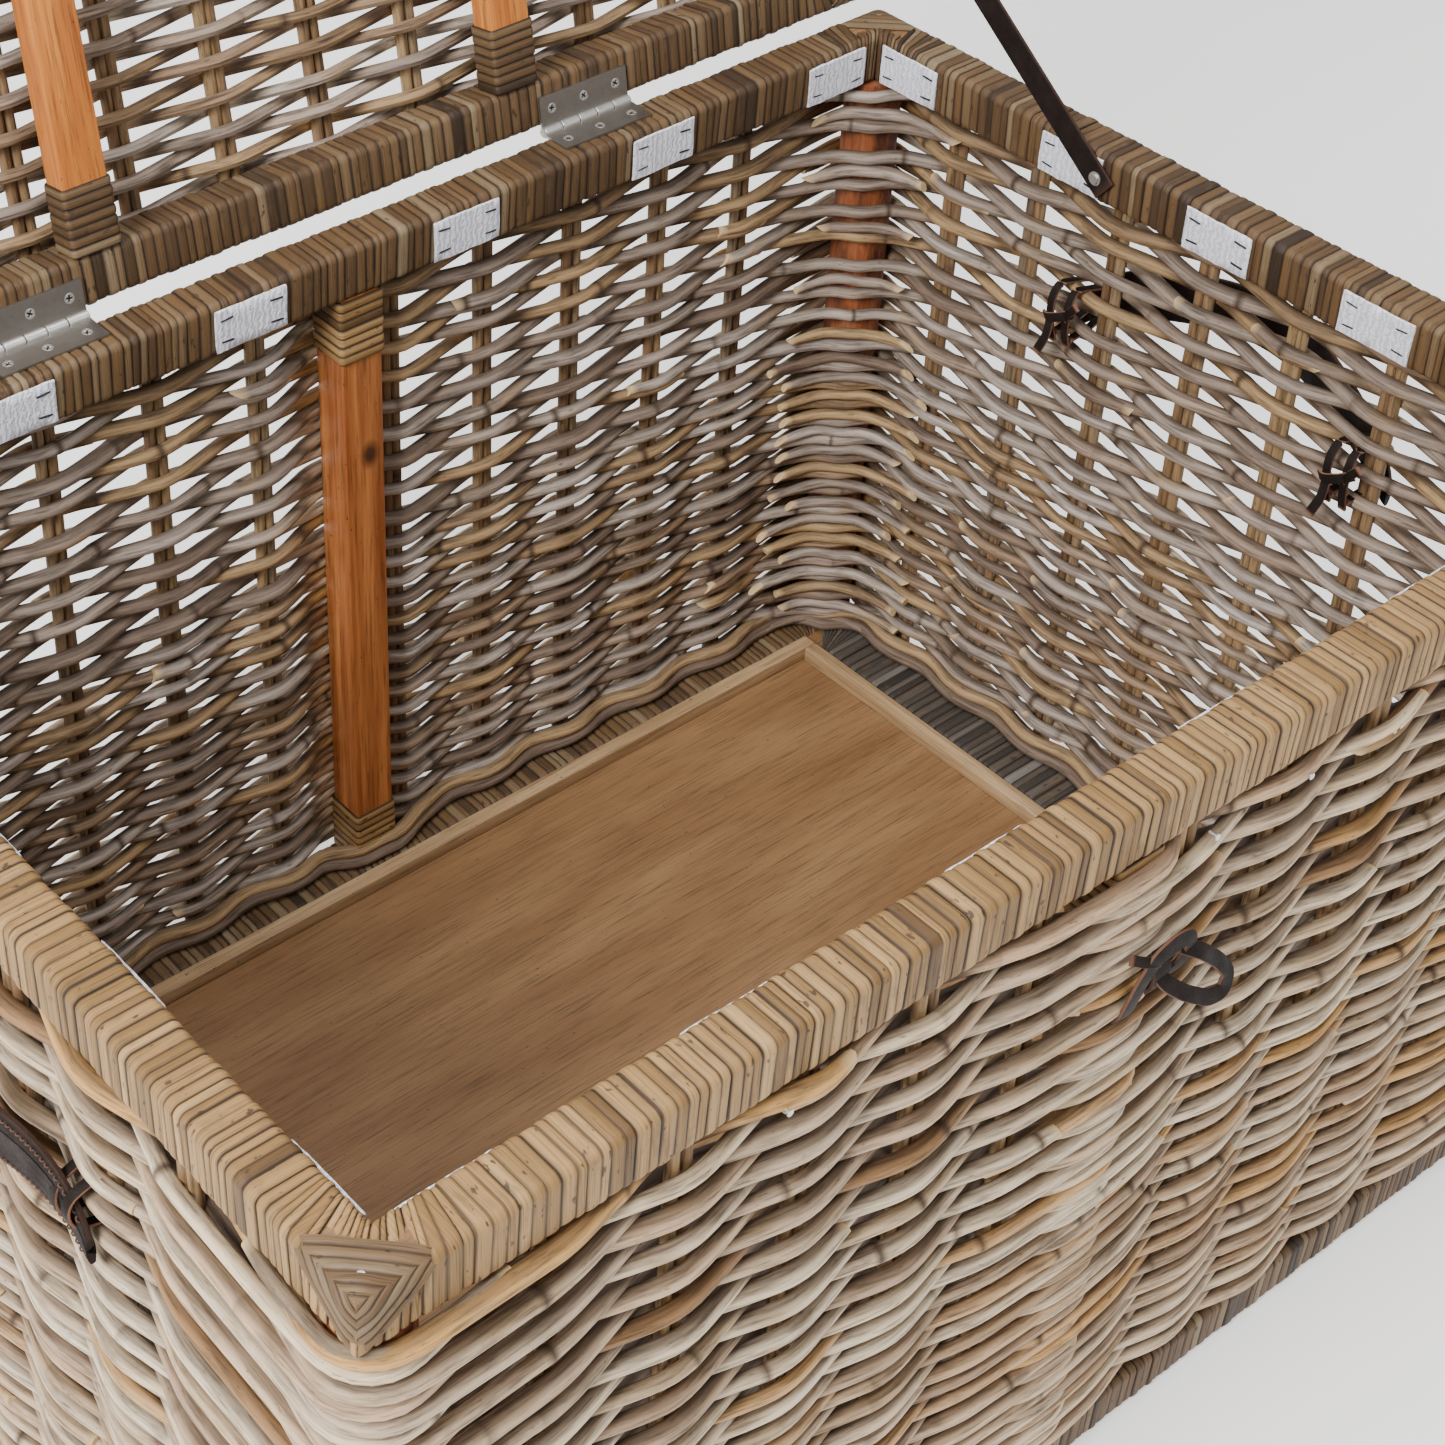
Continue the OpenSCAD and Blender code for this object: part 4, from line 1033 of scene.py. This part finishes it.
def plank(bundle, low, high, axis, round_by=1.4):
    """A planed batten or upright: a rounded rectangle carried along its axis, its end edges eased, with
    the grain mark's first part running along it."""
    low, high = np.asarray(low, float), np.asarray(high, float)
    others = [k for k in range(3) if k != axis]
    centre, half = (low + high) / 2, (high - low) / 2
    section = flat_section(*(2 * half[others]), round_by, 4)
    end = half[axis]
    s = np.concatenate([[-end, -end + 0.4], np.linspace(-end + 1.4, end - 1.4, max(int(end / 8), 4)),
                        [end - 0.4, end]])
    shrink = np.zeros((len(s), 1))
    shrink[[0, -1]], shrink[[1, -2]] = 1.2, 0.35
    rings = np.zeros((len(s), len(section), 3))
    rings[..., axis] = centre[axis] + s[:, None]
    for n, k in enumerate(others):
        rings[..., k] = centre[k] + section[:, n] * (1 - shrink / half[k])
    bundle.sweep(rings, grain=rings[..., [axis, *others]] * MM)


def collar(bundle, low, high, axis, strip, rng, radius=3.5):
    """Strips wound round a timber: a wound bar without mitres, standing round the timber."""
    others = [k for k in range(3) if k != axis]
    centre, half = (low + high) / 2, (high[axis] - low[axis]) / 2
    width, height = (high - low)[others]
    count = max(int(round(2 * half / strip)), 2)
    edge = np.linspace(-half, half, count + 1)
    s = (edge[:-1, None] + np.diff(edge)[:, None] * STRIP_SHARE).ravel()
    groove, rise = np.tile(STRIP_DIP, count), np.repeat(rng.uniform(-0.3, 0.3, count), 6)
    tone = np.clip(np.repeat(rng.normal(0.5, 0.2, count), 6), 0, 1)
    section = flat_section(width, height, radius, 5)
    flat = section + outward_sides(section, width, height, radius) * (rise - groove * 0.8)[:, None, None]
    along = s[:, None] + np.repeat(rng.uniform(-0.5, 0.5, count), 6)[:, None] * section[:, 0] / width
    rings = np.zeros((*along.shape, 3))
    rings[..., axis] = centre[axis] + np.clip(along, -half, half)
    rings[..., others] = centre[others] + flat
    bundle.sweep(rings, grain=rings[..., [axis, *others]] * MM, tone=tone[:, None], groove=groove[:, None])


class TRUNK_OT_timbers(bpy.types.Operator):
    """Sets the uprights, struts, battens and the strip collars on them"""
    bl_idname = "trunk.timbers"
    bl_label = "Timbers"

    def execute(self, context):
        strip = context.scene.trunk_sizes.strip / MM
        rng = np.random.default_rng(context.scene.trunk_sizes.seed + 6)
        for name, finish in (("upright_front", "timber_grey"), ("upright_back", "timber")):
            bundle = Bundle()
            plank(bundle, *box_mm(name), 2)
            bundle.build("timber_" + name, materials()[finish], "trunk", (name,))
        for name in ("lid_strut_left", "lid_strut_right"):
            bundle = Bundle()
            plank(bundle, *islands(name, shut=True)[0], 1)
            bundle.shift(turn_lid)
            bundle.build("timber_" + name, materials()["strut"], "lid", (name,))
        for name, axis, body, finish in (("upright_wraps", 2, "trunk", "strip_gold"),
                                         ("lid_strut_wraps", 1, "lid", "strip_brown")):
            bundle = Bundle()
            for low, high in islands(name, shut=body == "lid"):
                collar(bundle, low, high, axis, strip * 0.92, rng)
            if body == "lid":
                bundle.shift(turn_lid)
            bundle.build("collars_" + name, materials()[finish], body, (name,))
        bundle = Bundle()
        low, high = box_mm("base_battens")
        size = high[2] - low[2]
        for sign in (-1, 1):
            x, y = (sorted((high[k] * sign, (high[k] - size) * sign)) for k in (0, 1))
            plank(bundle, (low[0], y[0], low[2]), (high[0], y[1], high[2]), 0, 0.8)
            plank(bundle, (x[0], low[1] + size, low[2]), (x[1], high[1] - size, high[2]), 1, 0.8)
        bundle.build("mitred_battens", materials()["batten"], "trunk", ("base_battens",))
        return {"FINISHED"}


# ---------------------------------------------------------------- lid weave

# The woven panel's box when the lid is shut, the bend of its corners, and its stakes, in millimetres
PANEL_SHUT = (np.array([-495.0, -350.0, 608.0]), np.array([495.0, 350.0, 633.0]))
PANEL_BEND = 30.0
LID_STAKES = np.sort(np.concatenate([s * (37.5 + 75.0 * np.arange(6)) for s in (-1, 1)]))


def lid_rows(bundle, sizes, rng):
    """Rods across the lid panel, each over one stake pair and under the next, ending inside the corners."""
    low, high = PANEL_SHUT
    middle, stake, radius = (low[2] + high[2]) / 2, sizes.stake / MM, sizes.rod_upper / MM / 2 - 0.5
    rows = int((high[1] - low[1] - 34) / (sizes.lid_pitch / MM))
    for n, y in enumerate(np.linspace(low[1] + 17, high[1] - 17, rows)):
        corner = max(0.0, abs(y) - (high[1] - PANEL_BEND))
        end = high[0] - 8 - (PANEL_BEND - np.sqrt(max(PANEL_BEND ** 2 - corner ** 2, 0)))
        s = np.arange(-end, end + 3, 8.0)
        table = np.concatenate([[-end - 1], LID_STAKES, [end + 9]])
        level = np.where((np.arange(len(table)) + n) % 2 == 0, 1.0, -1.0) * (stake / 2 + radius - 0.4)
        level[[0, -1]] *= 0.3
        out = woven(s, table, level)
        path = np.stack([s, y + smooth_noise(rng, len(s), 140, 2 * end + 9) * 1.8, middle + out], -1)
        size = radius * rng.uniform(0.88, 1.08) * (1 + 0.05 * smooth_noise(rng, len(s), 90, 2 * end + 9))
        knot = sum(np.exp(-((s - spot) / 5) ** 2) for spot in rng.uniform(-end, end, 3))
        lay_rod(bundle, path, size, (0, 0, 1), 8, start=rng.uniform(0, 900), tone=rng.uniform(),
                knot=np.clip(knot, 0, 1)[:, None], side=lambda rings: ease((rings[..., 2] - middle) / 12 + 0.5),
                cut_ends=False)


def lid_border(bundle, rng):
    """Three rods round the panel's edge, at (inset, lift) from it: straights joined by corner arcs."""
    low, high = PANEL_SHUT
    for inset, lift in ((5.5, -5.5), (5.5, 5.0), (14.5, 0.0)):
        arcs = []
        for k, corner in enumerate(((1, 1), (-1, 1), (-1, -1), (1, -1))):
            a = np.linspace(k, k + 1, 7) * np.pi / 2
            turn = np.stack([np.cos(a), np.sin(a)], -1)
            arcs.append((high[:2] - inset - PANEL_BEND) * corner + PANEL_BEND * turn)
        loop = np.concatenate([*arcs, arcs[0][:1]])
        far = distances(loop)[-1]
        rise = lift + smooth_noise(rng, 300, 200, far) * 0.8
        path = raised(points_at(loop, np.linspace(0, far - 4, 300)), (low[2] + high[2]) / 2 + rise)
        # Side 0.6 gives these rods the whole painted shade of the rod finish.
        lay_rod(bundle, path, 5.0, (0, 0, 1), 8, start=rng.uniform(0, 900), tone=rng.uniform(), side=0.6,
                cut_ends=False)


class TRUNK_OT_lid_weave(bpy.types.Operator):
    """Weaves the lid panel over its stakes and binds its edge"""
    bl_idname = "trunk.lid_weave"
    bl_label = "Lid weave"

    def execute(self, context):
        sizes = context.scene.trunk_sizes
        rng = np.random.default_rng(sizes.seed + 7)
        low, high = PANEL_SHUT
        middle = (low[2] + high[2]) / 2
        bundle = Bundle()
        lid_rows(bundle, sizes, rng)
        lid_border(bundle, rng)
        bundle.shift(turn_lid)
        bundle.build("lid_rods", materials()["rod"], "lid", ("lid_weave",))
        bundle = Bundle()
        for x in LID_STAKES:
            ends = np.array([x, low[1] + 6, middle]), np.array([x, high[1] - 6, middle])
            stake_rods(bundle, ends, np.array([1.0, 0, 0]), sizes.stake / MM, rng)
        bundle.shift(turn_lid)
        bundle.build("lid_stake_pairs", materials()["stake"], "lid", ("lid_stakes",))
        return {"FINISHED"}


# ---------------------------------------------------------------- metalwork and tape

def knuckle(bundle, x, half, radius):
    """One knuckle of a hinge: a tube round the pin line with its ends rounded off by half a millimetre."""
    s = np.array([-half, -half + 0.15, -half + 0.5, half - 0.5, half - 0.15, half])
    r = radius - np.array([0.9, 0.3, 0, 0, 0.3, 0.9])
    rings, _ = tube(np.stack([x + s, *np.broadcast_to(LID_AXIS[:, None], (2, 6))], -1), r, (0, 0, 1), 20)
    # The ends are painted dark as the shade in the slits between knuckles.
    bundle.sweep(rings, dirt=np.array([1, 0.6, 0, 0, 0.6, 1])[:, None])


def screw_head(bundle, centre, facing, radius, height, turn):
    """Domed screw head with a crossed recess. Ring points lie at radius r; the height is a dome less a
    recess that is deep near either arm of the cross."""
    facing = unit(np.asarray(facing, float))
    side = unit(np.cross(facing, (0.31, 0.22, 0.93) if abs(facing[2]) < 0.9 else (1, 0, 0)))
    over = np.cross(facing, side)
    r = np.array([1.0, 1.0, 0.9, 0.72, 0.6, 0.48, 0.36, 0.24, 0.12, 0.03]) * radius
    rise = np.array([-0.3, 0.35, 0.72, 0.9, 0.95, 0.98, 1, 1, 1, 1]) * height
    a = np.arange(32) / 32 * 2 * np.pi
    x, y = r[:, None] * np.cos(a), r[:, None] * np.sin(a)
    arm = np.minimum(np.abs(x), np.abs(y)) / (radius * 0.13)
    reach = np.maximum(np.abs(x), np.abs(y)) / (radius * 0.62)
    deep = np.clip(1.6 - arm, 0, 1) * np.clip((1.0 - reach) * 6, 0, 1)
    z = rise[:, None] - deep * height * 0.75
    c, s = np.cos(turn), np.sin(turn)
    x, y = x * c - y * s, x * s + y * c
    # Painted shade: dark in the cross recess and round the head's foot.
    dirt = np.clip(deep * 1.3 + np.array([1, 0.5] + [0] * 8)[:, None], 0, 1)
    bundle.sweep(np.asarray(centre) + side * x[..., None] + over * y[..., None] + facing * z[..., None],
                 dirt=dirt)


def staple(bundle, low, high, rng):
    """One bent wire across a patch: a bar along the diagonal of its box, with a leg into the wall at
    each end. Heights stand off the box's face."""
    centre, size = (low + high) / 2, high - low
    normal_axis = int(np.argmin(size[:2]))
    along = 1 - normal_axis
    angle = np.arctan2(size[2], size[along]) * rng.choice([-1, 1])
    way, out = np.zeros(3), np.zeros(3)
    way[along], way[2] = np.cos(angle), np.sin(angle)
    out[normal_axis] = -np.sign(centre[normal_axis])
    face = centre + out * size[normal_axis] / 2
    reach = min(np.hypot(size[along], size[2]) / 2, 6.0)
    t = np.array([-1, -1, -0.97, -0.8, -0.3, 0.3, 0.8, 0.97, 1, 1])
    h = np.array([-2.4, -0.8, -0.1, 0.1, 0.15, 0.15, 0.1, -0.1, -0.8, -2.4])
    rings, _ = tube(face + way * (t * reach)[:, None] + out * h[:, None], 0.75, np.cross(way, out), 8)
    bundle.sweep(rings)


class TRUNK_OT_metal(bpy.types.Operator):
    """Drives the screws, staples and nails and finishes the hinges"""
    bl_idname = "trunk.metal"
    bl_label = "Metalwork"

    def execute(self, context):
        rng = np.random.default_rng(context.scene.trunk_sizes.seed + 8)
        tall = 0.9
        for name, up, body in (("hinge_body_screws", 1, "trunk"), ("hinge_lid_screws", -1, "lid")):
            bundle = Bundle()
            for low, high in islands(name, body == "lid"):
                centre = (low + high) / 2
                face = high[2] if up > 0 else low[2]
                screw_head(bundle, (centre[0], centre[1], face - up * tall * 0.95), (0, 0, up),
                           min(high[0] - low[0], high[1] - low[1]) / 2 + 0.4, tall, rng.uniform(0, 3))
            if body == "lid":
                bundle.shift(turn_lid)
            bundle.build("crossed_" + name, materials()["screw"], body, (name,))
        low, high = box_mm("hinge_pins")
        # Each hinge is 76 mm long and has five knuckles, in turn the trunk's and the lid's
        for body, turns in (("trunk", (-2, 0, 2)), ("lid", (-1, 1))):
            bundle = Bundle()
            for middle in (low[0] + 38, high[0] - 38):
                for n in turns:
                    knuckle(bundle, middle + n * 15.2, 7.35, 3.75)
            bundle.build("knuckles_" + body, materials()["bright"], body, ())
        bundle = Bundle()
        for low, high in islands("patch_staples"):
            staple(bundle, low, high, rng)
        bundle.build("bent_staples", materials()["staple"], "trunk", ("patch_staples",))
        dress(("hinge_body_leaf_left", "hinge_body_leaf_right", "hinge_lid_leaf_left", "hinge_lid_leaf_right",
               "hinge_pins"), "steel")
        dress(("nails", "stay_body_screws", "stay_lid_screws"), "screw")
        return {"FINISHED"}


def patch(bundle, low, high, rng):
    """One tape patch: a thin pillow carried along its length. Its height and its face wander, it leans a
    little, and it is thinner at both ends."""
    centre, size = (low + high) / 2, high - low
    axis = int(np.argmin(size[:2]))
    along = 1 - axis
    toward = -np.sign(centre[axis])
    count = 40
    u = np.linspace(-1, 1, count)
    half = size[along] / 2
    tall = size[2] / 2 * (1 + 0.025 * smooth_noise(rng, count, 6, 54))
    lean = rng.uniform(-0.02, 0.02)
    puff = 0.35 + 0.3 * smooth_noise(rng, count, 14, 54)
    columns = np.array([-1, -0.97, -0.6, -0.2, 0.2, 0.6, 0.97, 1.0])
    back, front = np.full(8, -0.6), np.array([-0.1, 0.5, 0.75, 0.8, 0.8, 0.75, 0.5, -0.1])
    v, w = np.concatenate([columns, columns[::-1]]), np.concatenate([back, front[::-1]])
    taper = np.ones(count)
    taper[[0, -1]] = 0.55
    rings = np.zeros((count, 16, 3))
    rings[..., along] = centre[along] + (u * half)[:, None] + 0.6 * smooth_noise(rng, 16, 5, 30)[None]
    rings[..., 2] = centre[2] + tall[:, None] * v + (u * half * lean)[:, None]
    rings[..., axis] = centre[axis] + toward * (w * taper[:, None] + puff[:, None] * (w > 0))
    bundle.sweep(rings, grain=rings[..., [along, 2, axis]] * MM)


class TRUNK_OT_patches(bpy.types.Operator):
    """Lays the stapled tape patches round the inside of the rim"""
    bl_idname = "trunk.patches"
    bl_label = "Tape patches"

    def execute(self, context):
        rng = np.random.default_rng(context.scene.trunk_sizes.seed + 9)
        bundle = Bundle()
        for low, high in islands("grip_patches"):
            patch(bundle, low, high, rng)
        bundle.build("tape_patches", materials()["tape"], "trunk", ("grip_patches",), sharp=60)
        return {"FINISHED"}


# ---------------------------------------------------------------- leather

HANDLE_REACH = 138.0    # half the handle's length in mm


def handle_line(t):
    """Middle of a handle's inner face for t from -1 to 1: how far it stands off the wall, its height,
    and half its width. It bows out 30 mm and narrows at both ends."""
    off = 30 * np.cos(np.pi / 2 * t) ** 2
    return off, 428 + 30 * (1 - t ** 2) - 22 * np.abs(t) ** 8, 1 - 0.35 * np.abs(t) ** 6


def thong(bundle, path, face, width, thick, steps=None, raw=1.0):
    """A cut leather strip: a flat rounded section carried along a path with its face turned to a given
    side. The edge mark is 1 on the cut edges and ends, 0 on the skin."""
    path = np.asarray(path, float)
    if steps:
        path = points_at(path, np.linspace(0, distances(path)[-1], steps))
        for _ in range(3):
            path[1:-1] = (path[:-2] + 2 * path[1:-1] + path[2:]) / 4
    tangent = unit(np.gradient(path, axis=0))
    normal = unit(squared(tangent, face))
    across = np.cross(tangent, normal)
    flat = np.array([-1, -0.93, -0.8, 0.0, 0.8, 0.93, 1]) * width / 2
    rise = np.array([0.55, 0.92, 1, 1, 1, 0.92, 0.55]) * thick / 2
    section = np.concatenate([np.stack([flat[::-1], rise], -1), np.stack([flat, -rise], -1)])
    rings = path[:, None] + across[:, None] * section[:, :1] + normal[:, None] * section[:, 1:]
    edge = np.broadcast_to((np.abs(section[:, 0]) > width * 0.49) * raw, rings.shape[:2]).copy()
    edge[[0, -1]] = raw
    bundle.sweep(rings, edge=edge)


def handle(bundle, sign, thick=5.0):
    """A strap handle: a rounded section of 40 by 5 mm along the handle's line, crowned by 1.1 mm on its
    outer face and thinned at its ends."""
    t = np.linspace(-1, 1, 81)
    off, z, narrow = handle_line(t)
    slope = np.gradient(off) / np.gradient(HANDLE_REACH * t)
    normal = unit(np.stack([np.ones_like(slope), -slope], -1))
    v, w = flat_section(2.0, thick, 1.4, 5).T
    shrink = np.ones(len(t))
    shrink[[0, -1]], shrink[[1, -2]] = 0.72, 0.93
    crown = 1.1 * (1 - v ** 2)
    push = w + np.where(w > 0, crown, 0.2 * crown)
    rings = np.zeros((len(t), len(v), 3))
    rings[..., 0] = sign * ((502 + thick / 2 + off)[:, None] + normal[:, :1] * push)
    rings[..., 1] = HANDLE_REACH * t[:, None] + normal[:, 1:] * push
    rings[..., 2] = z[:, None] + (20 * narrow)[:, None] * shrink[:, None] * v
    bundle.sweep(rings, edge=np.broadcast_to((np.abs(v) > 0.999) * 0.1, rings.shape[:2]))


def stitches(bundle, sign, thick=5.0):
    """Two rows of short threads, 15.4 mm above and below the handle's line, each sunk at its ends."""
    for n in range(-44, 45):
        for row in (-1, 1):
            q = n / 46 + np.array([-0.007, -0.004, 0, 0.004, 0.007])
            off, z, narrow = handle_line(q)
            path = np.stack([sign * (502.4 + off + thick), HANDLE_REACH * q, z + row * 15.4 * narrow], -1)
            path[:, 0] += sign * np.array([-0.8, 0.05, 0.3, 0.05, -0.8])
            rings, _ = tube(path, 0.5, (0, 0, 1), 6)
            bundle.sweep(rings, edge=0.45)


# A lace's two turns through the wall as (x, share of its offset along the wall, z), then its knot's
# three strips as (width, points, places (x, offset from the knot, z)); all in millimetres
LACE_TURN = ((469, 0.9, 405), (464, 1, 420), (463, 1.1, 440), (468, 1, 452), (490, 1, 446), (509, 0.9, 440),
             (512, 0.8, 430), (509, 0.9, 418), (490, 1, 412), (470, 1, 410))
LACE_KNOT = ((7.0, 16, ((466, -12, 436), (459, -5, 433), (458, 5, 428), (465, 13, 424))),
             (6.5, 12, ((463, 6, 428), (459, 4, 414), (456, 9, 398))),
             (6.0, 12, ((463, -6, 430), (458, -14, 442), (457, -20, 449))))
# The front closure's four thongs: facing, width, thickness, points, paleness of the cut edge, and the
# places measured from its middle, in millimetres
CLOSURE_AT = np.array([13.0, -359.0, 461.0])
CLOSURE = (
    ((0, -1, 0.25), 9.5, 2.6, 52, 0.55,
     ((-17, 9, -44), (-17, 1, -34), (-15, -4, -8), (-10, -7, 10), (3, -8, 16), (16, -7, 12), (21, -5, -1),
      (18, -1, -16), (14, 6, -28))),
    ((0, -1, 0.6), 9.5, 2.6, 52, 0.55,
     ((1, 4, -8), (4, -6, -17), (16, -11, -28), (33, -14, -40), (46, -14, -42), (49, -13, -31), (40, -11, -18),
      (26, -9, -4), (14, -2, 3))),
    ((0, -1, 0.1), 13.0, 2.6, 24, 0.3, ((4, 7, 8), (3, 1, 2), (3, -3, -8), (4, -2, -20), (5, 7, -34))),
    ((0, -1, 0.6), 6.0, 2.4, 10, 0.6, ((-24, -1, 14), (-15, -6, 10), (-6, -6, 6))),
)


def laces(bundle, sign):
    """The thongs that tie a handle's two ends in, each with a knot inside the wall."""
    for y in (-122, 122):
        for k in (-7, 7):
            path = [(sign * x, y + k * share, z) for x, share, z in LACE_TURN]
            thong(bundle, path, (sign, 0, 0.05), 6.0, 2.2, 44)
        for width, steps, places in LACE_KNOT:
            thong(bundle, [(sign * x, y + dy, z) for x, dy, z in places], (sign, 0, 0.05), width, 2.2, steps)


class TRUNK_OT_leather(bpy.types.Operator):
    """Cuts the handles, laces, closure and stay straps"""
    bl_idname = "trunk.leather"
    bl_label = "Leather"

    def execute(self, context):
        for side, sign in (("left", -1), ("right", 1)):
            node = "handle_" + side
            bundle = Bundle()
            handle(bundle, sign)
            bundle.build("strap_" + node, materials()["leather"], node, (node,))
            bundle = Bundle()
            stitches(bundle, sign)
            bundle.build("stitches_" + side, materials()["thong"], node, ())
            bundle = Bundle()
            laces(bundle, sign)
            bundle.build("laces_" + side, materials()["thong"], "trunk", ("handle_laces_" + side,))
        bundle = Bundle()
        for face, width, thick, steps, raw, places in CLOSURE:
            thong(bundle, CLOSURE_AT + places, face, width, thick, steps, raw)
        bundle.build("thong_closure", materials()["thong"], "trunk", ("closure_loops",))
        self.straps()
        return {"FINISHED"}

    def straps(self):
        """Flat stay straps from rim to lid, with square ends."""
        # The strap's two screws as (y, z) in millimetres at rest; it runs 11 mm past each
        foot, head = np.array([103.0, 552.0]), np.array([409.6, 783.4])
        way = (head - foot) / np.linalg.norm(head - foot)
        start, end = foot - way * 11, head + way * 11
        t = np.linspace(0, 1, 60)
        for side, sign in (("left", -1), ("right", 1)):
            path = np.stack([np.full(60, sign * 458.3), start[0] + (end[0] - start[0]) * t,
                             start[1] + (end[1] - start[1]) * t], -1)
            bundle = Bundle()
            thong(bundle, path, (-sign, 0, 0), 20.0, 2.4, raw=0.15)
            strap = bundle.build("stay_leather_" + side, materials()["leather"], None, ())
            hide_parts("stay_strap_" + side)
            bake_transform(strap)


# ---------------------------------------------------------------- base, stage

class TRUNK_OT_finish_frame(bpy.types.Operator):
    """Gives the carried-over nodes their timber finishes"""
    bl_idname = "trunk.finish_frame"
    bl_label = "Base and core timbers"

    def execute(self, context):
        dress(("base_panel", "base_rails", "rim_bars", "base_bars", "lid_bars"), "plywood")
        return {"FINISHED"}


class TRUNK_OT_stage(bpy.types.Operator):
    """Lays the floor and sets the lights and camera"""
    bl_idname = "trunk.stage"
    bl_label = "Floor, lights and camera"

    def execute(self, context):
        scene = context.scene
        half = 40.0
        mesh = bpy.data.meshes.new("floor")
        corner = np.array([[-1, -1, 0], [1, -1, 0], [1, 1, 0], [-1, 1, 0]]) * half
        mesh.from_pydata(corner.tolist(), [], [(0, 1, 2, 3)])
        mesh.materials.append(painted_floor("Matt white floor", tuple(scene.trunk_colours.floor)))
        floor = bpy.data.objects.new("floor", mesh)
        scene.collection.objects.link(floor)
        world = bpy.data.worlds.new("studio")
        world.use_nodes = True
        world.node_tree.nodes["Background"].inputs[0].default_value = (1, 1, 1, 1)
        world.node_tree.nodes["Background"].inputs[1].default_value = 0.42
        scene.world = world
        # Square lamps: place and aim in metres, power in watts, side in metres
        for name, place, aim, power, wide in (("key", (-2.4, -0.5, 2.5), (0, 0, 0.3), 152, 1.2),
                                              ("top", (0.2, 0.1, 3.6), (0, 0, 0.0), 62, 1.5),
                                              ("fill", (1.2, -2.8, 2.4), (0, 0, 0.3), 28, 2.2),
                                              ("back", (0.4, 2.6, 2.6), (0, 0, 0.4), 45, 1.8)):
            light = bpy.data.lights.new(name, "AREA")
            light.energy, light.size = power, wide
            lamp = bpy.data.objects.new(name, light)
            lamp.location = place
            lamp.rotation_euler = (Vector(aim) - Vector(place)).to_track_quat("-Z", "Y").to_euler()
            scene.collection.objects.link(lamp)
        lens = bpy.data.cameras.new("camera")
        lens.lens, lens.sensor_width, lens.shift_x, lens.shift_y = 72.5, 36.0, 0.1719, -0.1058
        lens.clip_start = 0.01
        camera = bpy.data.objects.new("camera", lens)
        # The camera stands at the front left, turned so far round and up, and looks down at the trunk
        around, up = np.radians(-38.224), np.radians(38.142)
        back = Vector((np.sin(around) * np.cos(up), -np.cos(around) * np.cos(up), np.sin(up)))
        right = Vector((np.cos(around), np.sin(around), 0))
        turn = Matrix((right, back.cross(right), back)).transposed()
        camera.matrix_world = Matrix.Translation((-0.9259, -0.9771, 1.5553)) @ turn.to_4x4()
        scene.collection.objects.link(camera)
        scene.camera = camera
        return {"FINISHED"}


class TRUNK_PT_panel(bpy.types.Panel):
    """Lists the trunk's sizes, colours and pieces"""
    bl_idname = "TRUNK_PT_panel"
    bl_label = "Wicker Trunk"
    bl_space_type = "VIEW_3D"
    bl_region_type = "UI"
    bl_category = "Trunk"

    def draw(self, context):
        """Shows each setting, then a button for each operator."""
        for group in (context.scene.trunk_sizes, context.scene.trunk_colours):
            for name in group.__annotations__:
                self.layout.prop(group, name)
        for operator in OPERATORS:
            self.layout.operator(operator.bl_idname)


OPERATORS = (TRUNK_OT_stage, TRUNK_OT_frames, TRUNK_OT_wall_weave, TRUNK_OT_stakes, TRUNK_OT_posts,
             TRUNK_OT_timbers, TRUNK_OT_lid_weave, TRUNK_OT_metal, TRUNK_OT_patches, TRUNK_OT_leather,
             TRUNK_OT_finish_frame)
CLASSES = (TrunkSizes, TrunkColours, *OPERATORS, TRUNK_PT_panel)


def register():
    """Makes the settings, operators and panel known to Blender."""
    for item in CLASSES:
        bpy.utils.register_class(item)
    bpy.types.Scene.trunk_sizes = PointerProperty(type=TrunkSizes)
    bpy.types.Scene.trunk_colours = PointerProperty(type=TrunkColours)


def unregister():
    """Takes back what register made known."""
    del bpy.types.Scene.trunk_sizes, bpy.types.Scene.trunk_colours
    for item in reversed(CLASSES):
        bpy.utils.unregister_class(item)


def main():
    """Builds every piece in order."""
    register()
    for operator in OPERATORS:
        group, name = operator.bl_idname.split(".")
        getattr(getattr(bpy.ops, group), name)()


if __name__ == "__main__":
    main()
